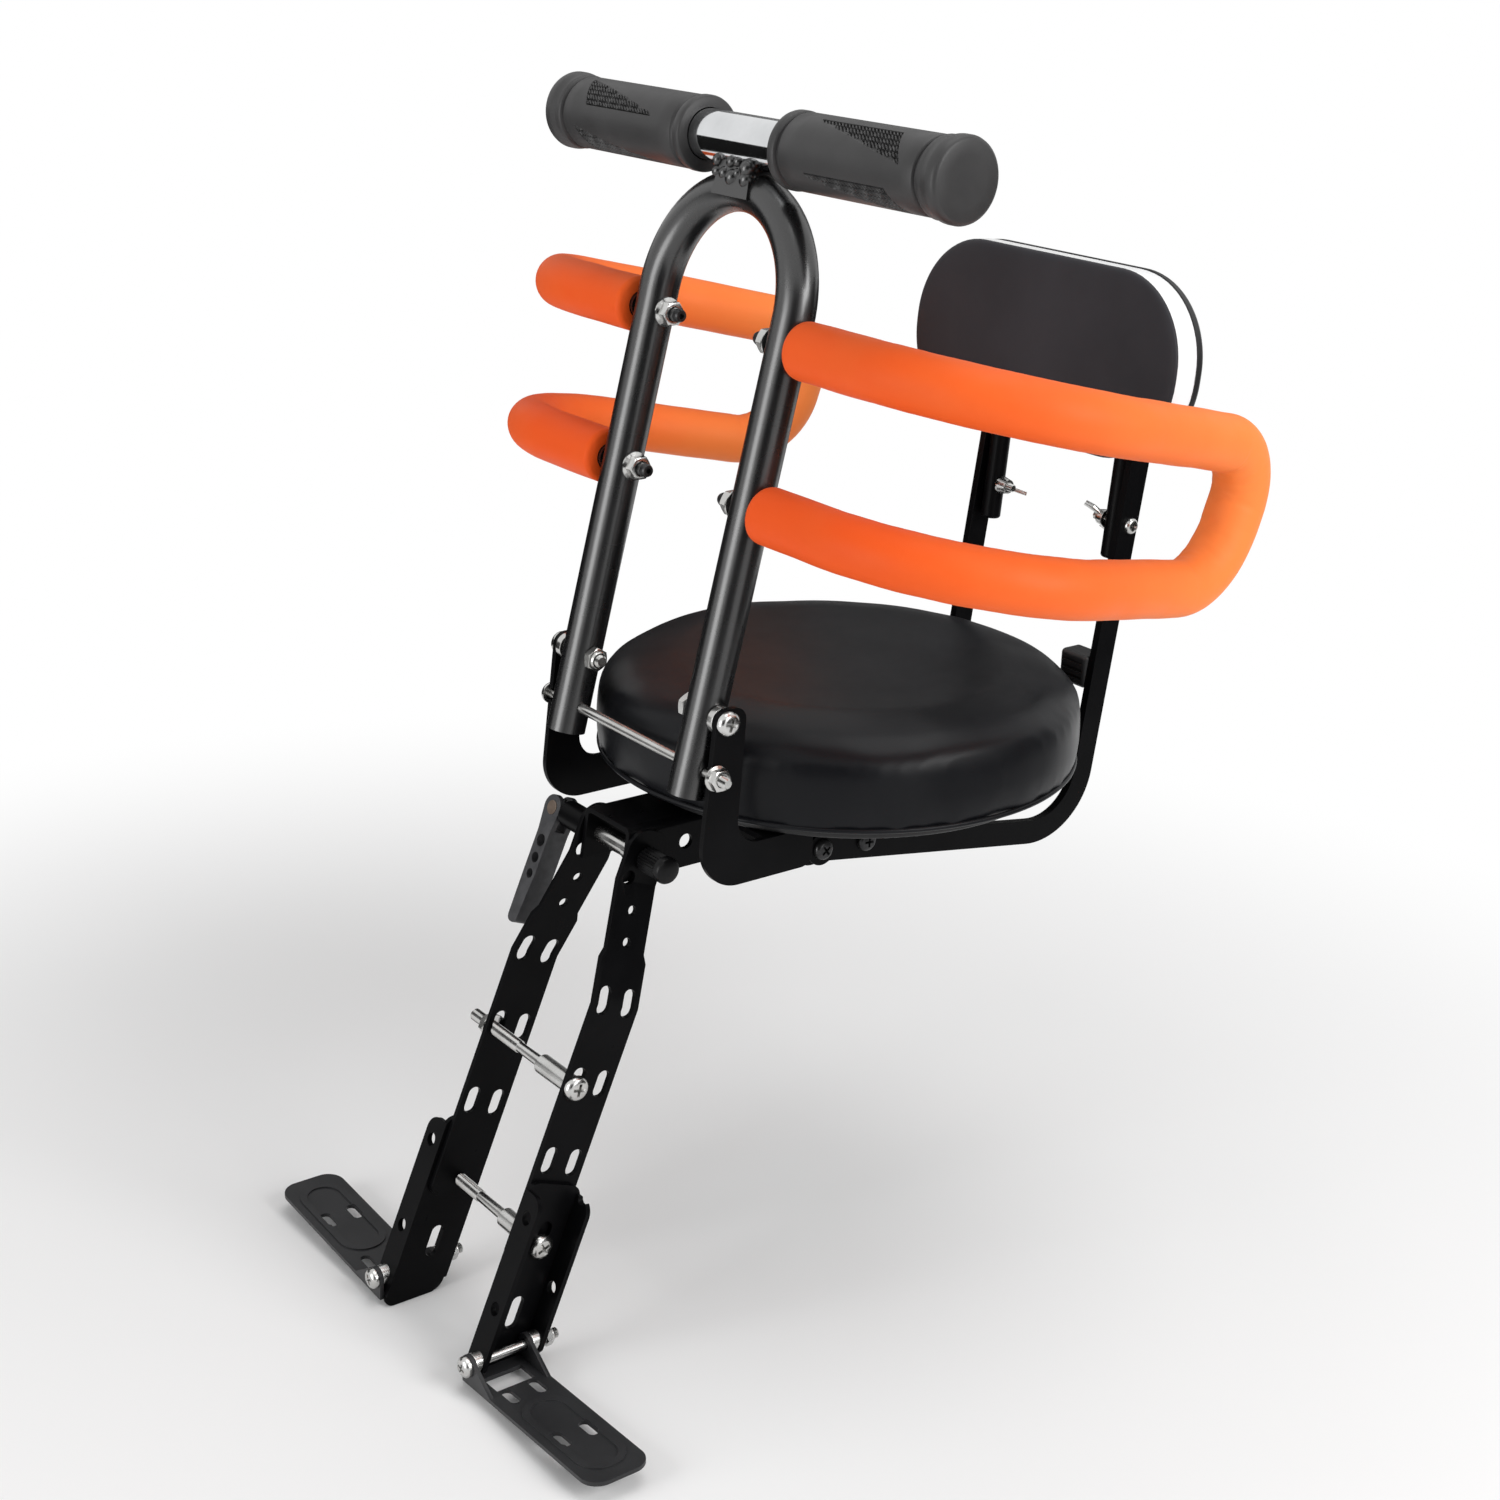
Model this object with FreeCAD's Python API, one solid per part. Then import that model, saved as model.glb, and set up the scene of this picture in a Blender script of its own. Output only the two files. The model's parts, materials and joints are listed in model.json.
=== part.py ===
import FreeCAD, Part
import math
import os

os.makedirs("parts", exist_ok=True)

V = FreeCAD.Vector
Rot = FreeCAD.Rotation
Place = FreeCAD.Placement

# Frame: front of the bicycle is -Y, its left side is +X, up is +Z.
# The origin lies between the lower edges of the saddle channel, below the quick-release skewer.
# All sizes are in mm and degrees. A screw head is (radius, height).
# A nut is (across flats, height, flange radius), with 0 for no flange.

# Fits
run_gap = 0.06          # radial, turning parts on their pins
bolt_gap = 0.25         # radial, bolts in their holes
thread_gap = 0.15       # radial, nut on bolt
face_gap = 0.3          # between faces that slide past one another or are curved
seat_gap = 0.1          # between faces that are clamped together

# Cutting tools
past = 1.0              # how far a tool runs beyond the face that it cuts
clear = 300.0           # reach of a tool that has to pass the whole object

# Saddle channel on the bicycle's top tube
channel_w = 35.0
channel_h = 25.0
channel_t = 2.5
channel_front = -7.0
channel_rear = 112.0
channel_nose = 3.5      # how far the lower front corner of a flange runs ahead of the top
channel_bend = 4.0
channel_hole_r = 3.5
channel_hole_y = 24.0

# Quick-release skewer through the channel and the tops of the legs
qr_z = 10.5
skewer_r = 2.5
skewer_eye = 1.6        # wall of the eye round the lever's pin
sleeve_r = 4.6
sleeve_step_r = 5.2
sleeve_step_len = 7.5
bush_r = 6.5
bush_len = 22.5
bush_edge = 1.0
lever_head_r = 6.2
lever_pin_r = 3.4
lever_pin_proud = 0.4
lever_t = 11.0
lever_fork = 5.6
lever_fork_len = 10.5
lever_len = 58.0
lever_neck = 12.0
lever_knee = 32.0
lever_inner = (4.6, 4.2, 1.4)      # inner edge at the neck, the knee and the tip
lever_outer = (-4.8, -5.2, -5.4)   # outer edge at the same heights
lever_tip_r = 3.0
lever_holes = ((16.5, 3.0), (25.0, 2.6), (33.0, 2.3))
thumb_r = 6.0
thumb_len = 18.0
thumb_cap_r = 6.3
thumb_cap_len = 4.0
thumb_cap_edge = 1.6
thumb_foot_r = 4.8
thumb_foot_len = 1.0
thumb_skin = 2.0        # closed end over the skewer

# Legs beside the bicycle frame
leg_lean = 22.0
leg_t = 2.5
leg_top = 13.0
leg_strip_w = 22.0
leg_plate_w = 26.0
leg_x = 32.0            # inner face of the lower, upright part of a leg
leg_splay_start = 12.0
leg_splay_end = 66.0
leg_step = 42.0
leg_step_run = 4.0
leg_len = 190.0
leg_crown = 0.9         # rounding of the top, as a share of half the strip
leg_corner = 5.0
leg_slot_rows = (64.0, 102.5, 141.0)
leg_slot_y = 7.0
leg_slot_w = 6.5
leg_slot_len = 13.0
leg_holes = (24.0, 38.0)
leg_hole_r = 2.2
leg_pin_hole = (-5.5, 10.0)        # across and below the skewer
leg_pin_hole_r = 3.3

# Bolts that pull the legs together under the bicycle tubes
clamp_r = 3.0
clamp_head = (6.0, 3.6)
clamp_nut = (10.0, 5.2, 6.4)
clamp_sleeve_r = 4.75
clamp_sleeve_len = 24.0
clamp_upper_s = 105.5
clamp_lower_s = 181.0
clamp_lower_y = 2.0
clamp_tail = 17.0       # threaded end beyond the far nut's seat

# Channel-shaped foot brackets on the legs
foot_t = 2.4
foot_w = 30.0
foot_depth = 13.4
foot_top = 151.0
foot_corner = 6.0
foot_flange_corner = 7.0
foot_flange_drop = 4.0  # flange's upper end below the web's
foot_pin_s = 230.0
foot_pin_out = 5.5      # pin outside the web
foot_web_drop = 13.0    # web below the hinge pin
foot_eye_r = 6.0
foot_hole_r = 3.0
foot_hole_s = (160.0, 204.0)
foot_hole_depth = 7.37  # holes in the flanges, from the web's inner face
foot_slot_len = 16.0
foot_slots = ((177.0, 2.0), (214.0, 1.0))

# Folding footrests
pin_r = 2.5
pin_head = (5.0, 3.2)
pin_nut = (8.0, 4.6, 0.0)
pin_tail = 7.5
pin_bush_r = 5.0
rest_tip = 142.0
rest_rise = 3.5         # how far the plate tilts up when it is let down
rest_t = 2.0
rest_drop = 7.7         # plate's upper face below the pin
rest_corner = 9.0
rest_cheek = 2.0
rest_cheek_len = 24.0
rest_side_gap = 2.8     # room for the leaning flange beside an upright cheek
rest_slot_w = 5.0
rest_slot_len = 12.0
rest_slot_y = 7.0
rest_slot_in = (78.0, 37.0)        # slots' middles from the tip
rest_rib = 0.8
rest_rib_w = 3.5
rest_rib_len = 62.0
rest_rib_across = 24.0
rest_rib_in = 38.0
rest_window = (8.0, 20.0)          # root window from the root edge
rest_window_edge = 6.0
rest_eye_gap = 0.3      # cheek eye to the web behind it

# Seat bracket, one bent sheet with an ear on each side
sheet = 3.0
base_front = 34.0
base_step = 62.0
base_rear = 118.0
ear_top = 92.5
ear_ahead = 5.0         # top of the ear ahead of the pivot
ear_behind = 10.5
ear_waist = 7.0
ear_corner = 6.0
ear_chin_r = 20.0
ear_waist_r = 12.0
arm_front = -3.0
arm_low = 9.5
arm_rear = 60.0
tab_low = 0.5
tab_corner = 9.0
tab_ahead = 12.0        # tab ahead of its front bolt

# Cushion and its board
cushion_front = 9.6
cushion_r = 115.0
cushion_h = 45.0
cushion_edge = 24.0
cushion_crown = 2.0
cushion_bead = 2.4
cushion_foot_in = 2.5   # lower edge inside the cushion's widest line
board_inset = 11.0
board_t = 6.6
board_edge = 1.5
board_screw_x = 34.0
board_screw_y = (50.0, 108.0)
board_screw_r = 2.0
board_screw_head = (4.0, 2.4)
board_screw_end = 2.0   # screw's tip below the board's top
board_skin = 1.2        # board left above a screw hole

# Handle loop, hinged on the ears
loop_lean = 13.4
pivot_y = 10.0
pivot_z = 86.3
loop_r = 9.0
loop_wall = 1.8
loop_half = 48.0
loop_foot = 36.9        # open end below the pivot
loop_straight = 169.5   # start of the arch above the pivot
rod_s = 24.2            # cross rod below the pivot
rod_r = 2.5
rod_head = (5.0, 3.2)
rod_nut = (9.0, 5.0, 5.8)
rod_tail = 9.0
pivot_r = 3.0
pivot_head = (5.6, 3.4)
pivot_nut = (10.0, 5.2, 0.0)
pivot_tail = 7.5
spacer_r = 6.2
spacer_len = 4.0        # loop's tube to the ear
notch_sweep = 50.0

# Handlebar and grips
bar_r = 11.0
bar_wall = 1.8
bar_ahead = 3.8         # handlebar ahead of the loop's plane
weld_gap = 0.4          # handlebar to the arch, filled by the saddle
saddle_low = 12.5       # half widths of the weld saddle
saddle_high = 9.5
saddle_front = 10.0
saddle_rear = 5.5
saddle_sink = 4.0       # saddle below the arch's centre line
grip_in = 31.0
grip_out = 136.0
grip_r = 16.0
grip_proud = 0.4        # collar outside the barrel
grip_groove = 0.9
grip_groove_w = 1.6
grip_slope = 1.4
grip_edge = 0.8
grip_flange_r = 17.3
grip_flange = 12.0
grip_flange_edge = 1.6
grip_collar = 5.0
grip_end = 3.1          # closed end outside the handlebar

# Side guards, a bent rod in a foam sleeve, in the loop's frame
guard_low = 89.6
guard_high = 159.2
guard_corner_x = 188.0  # where the lines of the front run and the side run meet
guard_rear_x = 152.5
guard_rear_high = 182.0
guard_rear_low = 175.0
guard_rise_high = 1.0   # rear corners above the front runs
guard_rise_low = 7.0
guard_bend = 70.0
guard_rear_bends = (24.0, 34.0)
guard_r = 6.0
foam_r = 12.5
foam_gap = 2.0          # loop's tube to the end of the foam
foam_edge = 2.0
stud_r = 3.0
stud_tail = 8.6
stud_root = 2.0
guard_nut = (10.0, 6.0, 6.6)

# Rear bars and backrest, placed from the rear of the cushion
bar_t = 4.0
bar_w = 12.0
bar_top_behind = 21.4
bar_top_z = 166.0
bar_knee_ahead = 3.1
bar_knee_z = -16.6
bar_knee_r = 30.0
bar_bolts = ((75.6, 9.4), (101.2, 8.0))
bar_lobe_r = 8.0
bar_bolt_r = 2.5
bar_bolt_head = (5.0, 3.0)
bar_bolt_nut = (8.0, 4.4, 0.0)
bar_bolt_tail = 7.0
back_ahead = 1.6
back_z = 216.0
back_lean = 4.5
back_half_w = 89.0
back_half_h = 44.0
back_corner = 42.0
back_pad = 15.0
back_pad_edge = 2.0
back_shell = 5.4
back_shell_edge = 3.5
tube_x = 43.0
tube_r = 5.0
tube_edge = 1.5
tube_low = 95.6         # below the middle of the backrest
tube_high = 20.0        # above the middle of the backrest
tube_screw_z = (-28.0, 8.0)
tube_screw_r = 1.75
tube_screw_head = (3.6, 2.2)
tube_screw_bite = 3.4   # thread in the shell
shell_skin = 1.4        # shell left in front of a screw hole
wing_s = 77.7
wing_r = 2.0
wing_head = (4.0, 2.8)
wing_tail = 9.0
wing_base_r = 4.6
wing_neck_r = 3.6
wing_base_h = 5.0
wing_span = 10.6
wing_h = 10.4
wing_t = 1.8

# Strap block on the left rear bar, behind the cushion
strap_behind = 0.4
strap_w = 18.0
strap_d = 13.0
strap_low = 55.0
strap_h = 17.0
strap_edge = 2.5
strap_ribs = (4.0, 7.8, 11.6)
strap_rib_w = 1.6
strap_rib_d = 1.0

X = V(1, 0, 0)
Y = V(0, 1, 0)
Z = V(0, 0, 1)

# Places that follow from the sizes above
base_z = channel_h
board_z = base_z + sheet
cushion_z = board_z + board_t + seat_gap
cushion_y = cushion_front + cushion_r
board_r = cushion_r - board_inset
seat_rear = cushion_y + cushion_r
channel_x = channel_w / 2
leg_in = channel_x + seat_gap
leg_out = leg_in + leg_t
web_x = leg_x + leg_t + seat_gap
foot_pin_x = web_x + foot_t + foot_pin_out
rest_eye_r = foot_pin_out - rest_eye_gap
loop_in = loop_half - loop_r
loop_out = loop_half + loop_r
ear_x = loop_out + spacer_len
ear_out = ear_x + sheet
foam_start = loop_out + foam_gap
arch_top = loop_straight + loop_half
bar_s = arch_top + math.sqrt((loop_r + bar_r + weld_gap) ** 2 - bar_ahead**2)
bar_end = grip_out - grip_end - face_gap
tab_x = tube_x + tube_r + face_gap
bar_in = tab_x + seat_gap
bar_out = bar_in + bar_t
back_y = seat_rear - back_ahead
back_depth = back_pad + seat_gap + back_shell
tube_y = back_depth + tube_r + face_gap
bush_out = leg_out + seat_gap + bush_len
cam_x = bush_out + lever_head_r + face_gap
nut_in = leg_out + seat_gap
skewer_end = nut_in + thumb_len - thumb_skin

loop_frame = Place(V(0, pivot_y, pivot_z), Rot(X, -loop_lean))
leg_frame = Place(V(0, 0, qr_z), Rot(X, -leg_lean))
back_frame = Place(V(0, back_y, back_z), Rot(X, -back_lean))


def placed(shape, frame):
    """A copy of a shape moved by a placement."""
    s = shape.copy()
    s.Placement = frame.multiply(s.Placement)
    return s


def moved(shape, x, y, z):
    """A copy of a shape moved along the axes."""
    return placed(shape, Place(V(x, y, z), Rot()))


def aimed(shape, origin, direction):
    """A copy of a shape built along +Z, set at a point and turned to a direction."""
    return placed(shape, Place(origin, Rot(Z, direction)))


def mirrored(shape):
    """The mirror image of a shape in the plane X = 0."""
    return shape.mirror(V(0, 0, 0), X)


def rod(r, a, b):
    """A round rod from point a to point b."""
    d = b - a
    return Part.makeCylinder(r, d.Length, a, d)


def cross_hole(r, x0, x1, y, z):
    """A tool along X that drills past both ends."""
    return rod(r, V(x0 - past, y, z), V(x1 + past, y, z))


def tube(r_out, r_in, a, b):
    """A round tube from point a to point b."""
    return rod(r_out, a, b).cut(rod(r_in, a, b))


def block(x0, x1, y0, y1, z0, z1):
    """A box between two corners."""
    return Part.makeBox(x1 - x0, y1 - y0, z1 - z0, V(x0, y0, z0))


def face_of(points):
    """A flat face on a closed polygon."""
    return Part.Face(Part.makePolygon(points + [points[0]]))


def plate_yz(points, x0, x1):
    """A plate across X on an outline of (y, z) points."""
    return face_of([V(x0, y, z) for y, z in points]).extrude(V(x1 - x0, 0, 0))


def turned(points):
    """A solid of revolution about Z on an outline of (radius, height) points."""
    return face_of([V(r, 0, z) for r, z in points]).revolve(V(0, 0, 0), Z, 360)


def rounded(shape, radius, picks):
    """Fillets the edges that lie through the picked points."""
    chosen = []
    for e in shape.Edges:
        if any(e.distToShape(Part.Vertex(p))[0] < 0.01 for p in picks):
            chosen.append(e)
    return shape.makeFillet(radius, chosen)


def level_edges(shape, axis, place):
    """The edges of a shape that lie in one plane across an axis, named by its letter."""
    found = []
    for e in shape.Edges:
        box = e.BoundBox
        low = getattr(box, axis + "Min")
        high = getattr(box, axis + "Max")
        if abs(low - place) < 1e-4 and abs(high - place) < 1e-4:
            found.append(e)
    return found


def stadium(length, width, height):
    """A slot-shaped prism along +Z, long way along X, middle at the origin."""
    r = width / 2
    h = length / 2 - r
    ends = [Part.makeCylinder(r, height, V(x, 0, 0)) for x in (-h, h)]
    return block(-h, h, -r, r, 0, height).fuse(ends)


def pan_screw(head, shank_r, length):
    """A screw turned in one piece: bevelled head above the seat at z = 0, shank below."""
    r, h = head
    bevel = h / 2
    outline = [(0, h), (r - bevel, h), (r, h - bevel), (r, 0), (shank_r, 0), (shank_r, -length), (0, -length)]
    return turned(outline)


def hex_nut(nut, bolt_r):
    """A hexagon nut standing on z = 0, with an optional flange, bored for its bolt."""
    flats, height, flange_r = nut
    r = flats / math.sqrt(3)
    turns = [math.radians(60 * k) for k in range(6)]
    body = face_of([V(r * math.cos(a), r * math.sin(a), 0) for a in turns]).extrude(V(0, 0, height))
    if flange_r:
        body = body.fuse(Part.makeCylinder(flange_r, height / 5))
    return body.cut(Part.makeCylinder(bolt_r + thread_gap, height))


def corner(a, b, c, r):
    """Start, middle and end of the bend of one radius at the corner b of a line a, b, c."""
    u = (b - a).normalize()
    w = (c - b).normalize()
    half = u.getAngle(w) / 2
    middle = b + (w - u).normalize() * (r / math.cos(half) - r)
    cut = r * math.tan(half)
    return b - u * cut, middle, b + w * cut


def joined(shapes):
    """One solid from shapes that meet."""
    s = shapes[0].fuse(shapes[1:]).removeSplitter()
    return s.Solids[0] if len(s.Solids) == 1 else s


def bent_bar(r, points, radii):
    """A round bar along a line of points, bent at each inner corner to its radius."""
    pieces = []
    last = points[0]
    for a, b, c, bend_r in zip(points, points[1:], points[2:], radii):
        start, middle, end = corner(a, b, c, bend_r)
        run = (b - a).normalize()
        axis = run.cross(c - b).normalize()
        centre = start + axis.cross(run) * bend_r
        turn = math.degrees(run.getAngle(c - b))
        if (start - last).Length > past:
            pieces.append(rod(r, last, start))
        section = Part.Face(Part.Wire(Part.makeCircle(r, start, run)))
        pieces.append(section.revolve(centre, axis, turn))
        last = end
    pieces.append(rod(r, last, points[-1]))
    return joined(pieces)


def save(name, shapes):
    """Writes one node, a single solid or a group of separate solids."""
    solids = []
    for s in shapes if isinstance(shapes, (list, tuple)) else [shapes]:
        solids.extend(s.Solids)
    whole = solids[0] if len(solids) == 1 else Part.makeCompound(solids)
    whole.exportStep("parts/" + name + ".step")


def pair(name, left):
    """Writes a left piece and its mirror image on the right."""
    save(name + "_left", left)
    save(name + "_right", mirrored(left))


def saddle_channel():
    """Inverted U that sits astride the top tube."""
    h = channel_x
    inner = h - channel_t
    roof = channel_h - channel_t
    side = [
        (channel_front, channel_h),
        (channel_rear, channel_h),
        (channel_rear, 0),
        (channel_front - channel_nose, 0),
    ]
    mid = channel_rear / 2
    body = rounded(plate_yz(side, -h, h), channel_bend, [V(-h, mid, channel_h), V(h, mid, channel_h)])
    core = block(-inner, inner, -clear, clear, -past, roof)
    core = rounded(core, channel_bend - channel_t, [V(-inner, 0, roof), V(inner, 0, roof)])
    holes = [
        cross_hole(skewer_r + bolt_gap, -h, h, 0, qr_z),
        cross_hole(channel_hole_r, -h, h, channel_hole_y, channel_h / 2),
    ]
    return body.cut([core] + holes)


save("saddle_channel", saddle_channel())

# Seat bracket: side plates with ears, base plate and rear tabs from one sheet
rod_y = pivot_y - rod_s * math.sin(math.radians(loop_lean))
rod_z = pivot_z - rod_s * math.cos(math.radians(loop_lean))
notch_half = rod_r + face_gap


def rod_notch():
    """Tool for the open notch that the cross rod swings out of, about the pivot."""
    x0 = ear_x - past
    wide = sheet + 2 * past
    centre = V(x0, pivot_y, pivot_z)
    ring = Part.makeCylinder(rod_s + notch_half, wide, centre, X)
    ring = ring.cut(Part.makeCylinder(rod_s - notch_half, wide, centre, X))
    wedge = [(pivot_y, pivot_z)]
    for swing in (0, notch_sweep):
        a = math.radians(-90 - loop_lean - swing)
        wedge.append((pivot_y + 2 * rod_s * math.cos(a), pivot_z + 2 * rod_s * math.sin(a)))
    open_side = ring.common(plate_yz(wedge, x0, x0 + wide))
    return open_side.fuse(Part.makeCylinder(notch_half, wide, V(x0, rod_y, rod_z), X))


def ear_plate():
    """Side plate of the left side: ear, notch for the cross rod and arm under the seat."""
    top = base_z + sheet
    front_top = pivot_y - ear_ahead
    rear_top = pivot_y + ear_behind
    waist = pivot_y + ear_waist
    outline = [
        (front_top, ear_top),
        (rear_top, ear_top),
        (waist, top),
        (arm_rear, top),
        (arm_rear, arm_low),
        (arm_front, arm_low),
    ]
    p = plate_yz(outline, ear_x, ear_out)
    mid = ear_x + sheet / 2
    p = rounded(p, ear_chin_r, [V(mid, arm_front, arm_low)])
    p = rounded(p, ear_waist_r, [V(mid, waist, top)])
    p = rounded(p, ear_corner, [V(mid, rear_top, ear_top), V(mid, front_top, ear_top)])
    p = rounded(p, ear_corner, [V(mid, arm_rear, arm_low)])
    return p.cut([rod_notch(), cross_hole(pivot_r + bolt_gap, ear_x, ear_out, pivot_y, pivot_z)])


def rear_tab():
    """Bent-down tab of the left side that carries a rear bar."""
    inner = tab_x - sheet
    mid = tab_x - sheet / 2
    y0 = bar_bolts[0][0] - tab_ahead
    t = block(inner, tab_x, y0, base_rear, tab_low, base_z + sheet)
    t = rounded(t, tab_corner, [V(mid, y0, tab_low), V(mid, base_rear, tab_low)])
    return t.cut([cross_hole(bar_bolt_r + bolt_gap, inner, tab_x, y, z) for y, z in bar_bolts])


board_screw_at = [(s * board_screw_x, y) for s in (-1, 1) for y in board_screw_y]


def seat_bracket():
    """The whole bent sheet under the seat."""
    top = base_z + sheet
    wide = block(-ear_out, ear_out, base_front, base_step, base_z, top)
    long = block(-tab_x, tab_x, base_front, base_rear, base_z, top)
    ear = ear_plate()
    tab = rear_tab()
    s = joined([wide, long, ear, mirrored(ear), tab, mirrored(tab)])
    hole_r = board_screw_r + bolt_gap
    return s.cut([rod(hole_r, V(x, y, base_z - past), V(x, y, top + past)) for x, y in board_screw_at])


save("seat_bracket", seat_bracket())


def seat_board():
    """Round board under the cushion with blind screw holes."""
    b = Part.makeCylinder(board_r, board_t, V(0, cushion_y, board_z))
    b = b.makeFillet(board_edge, level_edges(b, "Z", board_z) + level_edges(b, "Z", board_z + board_t))
    holes = []
    for x, y in board_screw_at:
        roof = board_z + board_t - board_skin
        holes.append(rod(board_screw_r + thread_gap, V(x, y, board_z - past), V(x, y, roof)))
    return b.cut(holes)


board_screw = pan_screw(board_screw_head, board_screw_r, sheet + board_t - board_screw_end)
save("seat_board", seat_board())
save("board_screws", [aimed(board_screw, V(x, y, base_z), V(0, 0, -1)) for x, y in board_screw_at])


def cushion():
    """Round padded seat with a bead at its lower edge and a slightly domed top."""
    top = cushion_h - cushion_crown
    e = cushion_edge
    k = e * (1 - math.sqrt(0.5))
    low = cushion_bead * 2
    foot = cushion_r - cushion_foot_in
    flat_r = cushion_r - e
    dome = (flat_r**2 + cushion_crown**2) / (2 * cushion_crown)
    half = math.asin(flat_r / dome) / 2
    between = V(dome * math.sin(half), 0, cushion_h - dome + dome * math.cos(half))
    rim = V(cushion_r, 0, top - e)
    shoulder = V(flat_r, 0, top)
    peak = V(0, 0, cushion_h)
    edges = [
        Part.makeLine(V(0, 0, 0), V(foot, 0, 0)),
        Part.Arc(V(foot, 0, 0), V(foot + cushion_bead, 0, cushion_bead), V(foot, 0, low)).toShape(),
        Part.makeLine(V(foot, 0, low), rim),
        Part.Arc(rim, V(cushion_r - k, 0, top - k), shoulder).toShape(),
        Part.Arc(shoulder, between, peak).toShape(),
        Part.makeLine(peak, V(0, 0, 0)),
    ]
    s = Part.Face(Part.Wire(edges)).revolve(V(0, 0, 0), Z, 360)
    return moved(s, 0, cushion_y, cushion_z)


save("cushion", cushion())


# Handle loop, built in its own upright frame with the pivot at the origin
def arch(r, foot):
    """Round bar along the loop's centre line, down to a foot below the pivot."""
    h = loop_half
    points = [V(-h, 0, -foot), V(-h, 0, arch_top), V(h, 0, arch_top), V(h, 0, -foot)]
    return bent_bar(r, points, (h, h))


def weld_saddle():
    """Tapered saddle between the top of the arch and the handlebar."""
    y = -saddle_front
    low = arch_top - saddle_sink
    outline = [
        V(-saddle_low, y, low),
        V(saddle_low, y, low),
        V(saddle_high, y, bar_s),
        V(-saddle_high, y, bar_s),
    ]
    s = face_of(outline).extrude(V(0, saddle_front + saddle_rear, 0))
    return s.cut(rod(bar_r + seat_gap, V(-clear, -bar_ahead, bar_s), V(clear, -bar_ahead, bar_s)))


def loop():
    """Bent tube with its weld saddle and the holes for its bolts."""
    outer = arch(loop_r, loop_foot).fuse(weld_saddle()).removeSplitter()
    bore = arch(loop_r - loop_wall, loop_foot + past)
    holes = [
        cross_hole(pivot_r + run_gap, -loop_out, loop_out, 0, 0),
        cross_hole(rod_r + run_gap, -loop_out, loop_out, 0, -rod_s),
        cross_hole(stud_r + bolt_gap, -loop_out, loop_out, 0, guard_low),
        cross_hole(stud_r + bolt_gap, -loop_out, loop_out, 0, guard_high),
    ]
    return outer.cut([bore] + holes)


save("handle_loop", placed(loop(), loop_frame))

# Cross rod that ties the loop's feet and rests in the ears' notches
rod_seat = ear_out + face_gap
cross_rod = aimed(pan_screw(rod_head, rod_r, 2 * rod_seat + rod_tail), V(-rod_seat, 0, -rod_s), V(-1, 0, 0))
save("cross_rod", placed(cross_rod, loop_frame))
cross_nut = aimed(hex_nut(rod_nut, rod_r), V(rod_seat, 0, -rod_s), X)
save("cross_rod_nut", placed(cross_nut, loop_frame))

# Pivot bolts of the loop, their nuts and the spacers beside the ears
pivot_at = V(0, pivot_y, pivot_z)
pivot_screw = pan_screw(pivot_head, pivot_r, ear_out - loop_in + pivot_tail)
pivot_bolts = []
pivot_nuts = []
pivot_spacers = []
for out in (X, -X):
    pivot_bolts.append(aimed(pivot_screw, pivot_at + out * ear_out, out))
    pivot_nuts.append(aimed(hex_nut(pivot_nut, pivot_r), pivot_at + out * (loop_in - face_gap), -out))
    inner_end = pivot_at + out * (loop_out + face_gap)
    outer_end = pivot_at + out * (ear_x - seat_gap / 2)
    pivot_spacers.append(tube(spacer_r, pivot_r + bolt_gap, inner_end, outer_end))
save("pivot_bolts", pivot_bolts)
save("pivot_nuts", pivot_nuts)
save("pivot_spacers", pivot_spacers)

# Handlebar and grips, built along the handlebar's own axis
bar_frame = loop_frame.multiply(Place(V(0, -bar_ahead, bar_s), Rot()))
handlebar = tube(bar_r, bar_r - bar_wall, V(-bar_end, 0, 0), V(bar_end, 0, 0))
save("handlebar", placed(handlebar, bar_frame))


def grip():
    """Rubber grip of the left side with collar, flange and closed end."""
    bore = bar_r + face_gap
    collar_r = grip_r + grip_proud
    groove_r = grip_r - grip_groove
    collar_end = grip_in + grip_collar
    groove_end = collar_end + grip_groove_w
    flange = grip_out - grip_flange
    neck = flange - grip_proud - grip_groove_w
    outline = [
        (bore, grip_in),
        (collar_r - grip_edge, grip_in),
        (collar_r, grip_in + grip_edge),
        (collar_r, collar_end - grip_edge),
        (groove_r, collar_end),
        (groove_r, groove_end),
        (grip_r, groove_end + grip_slope),
        (grip_r, neck - grip_slope),
        (groove_r, neck),
        (groove_r, flange - grip_proud),
        (grip_flange_r - grip_edge, flange),
        (grip_flange_r, flange + grip_edge),
        (grip_flange_r, grip_out - grip_flange_edge),
        (grip_flange_r - grip_flange_edge, grip_out),
        (0, grip_out),
        (0, bar_end + face_gap),
        (bore, bar_end + face_gap),
    ]
    return aimed(turned(outline), V(0, 0, 0), X)


pair("grip", placed(grip(), bar_frame))


def guard_path(r, start):
    """Round bar along the left guard's centre line: out, back, round the end and in again."""
    points = [
        V(start, 0, guard_high),
        V(guard_corner_x, 0, guard_high),
        V(guard_rear_x, guard_rear_high, guard_high + guard_rise_high),
        V(guard_rear_x, guard_rear_low, guard_low + guard_rise_low),
        V(guard_corner_x, 0, guard_low),
        V(start, 0, guard_low),
    ]
    return bent_bar(r, points, (guard_bend,) + guard_rear_bends + (guard_bend,))


def guard_bar():
    """Left guard's rod with a threaded stud at each end."""
    studs = []
    for s in (guard_low, guard_high):
        studs.append(rod(stud_r, V(loop_in - stud_tail, 0, s), V(loop_out + stud_root, 0, s)))
    return guard_path(guard_r, loop_out + seat_gap).fuse(studs).removeSplitter()


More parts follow.
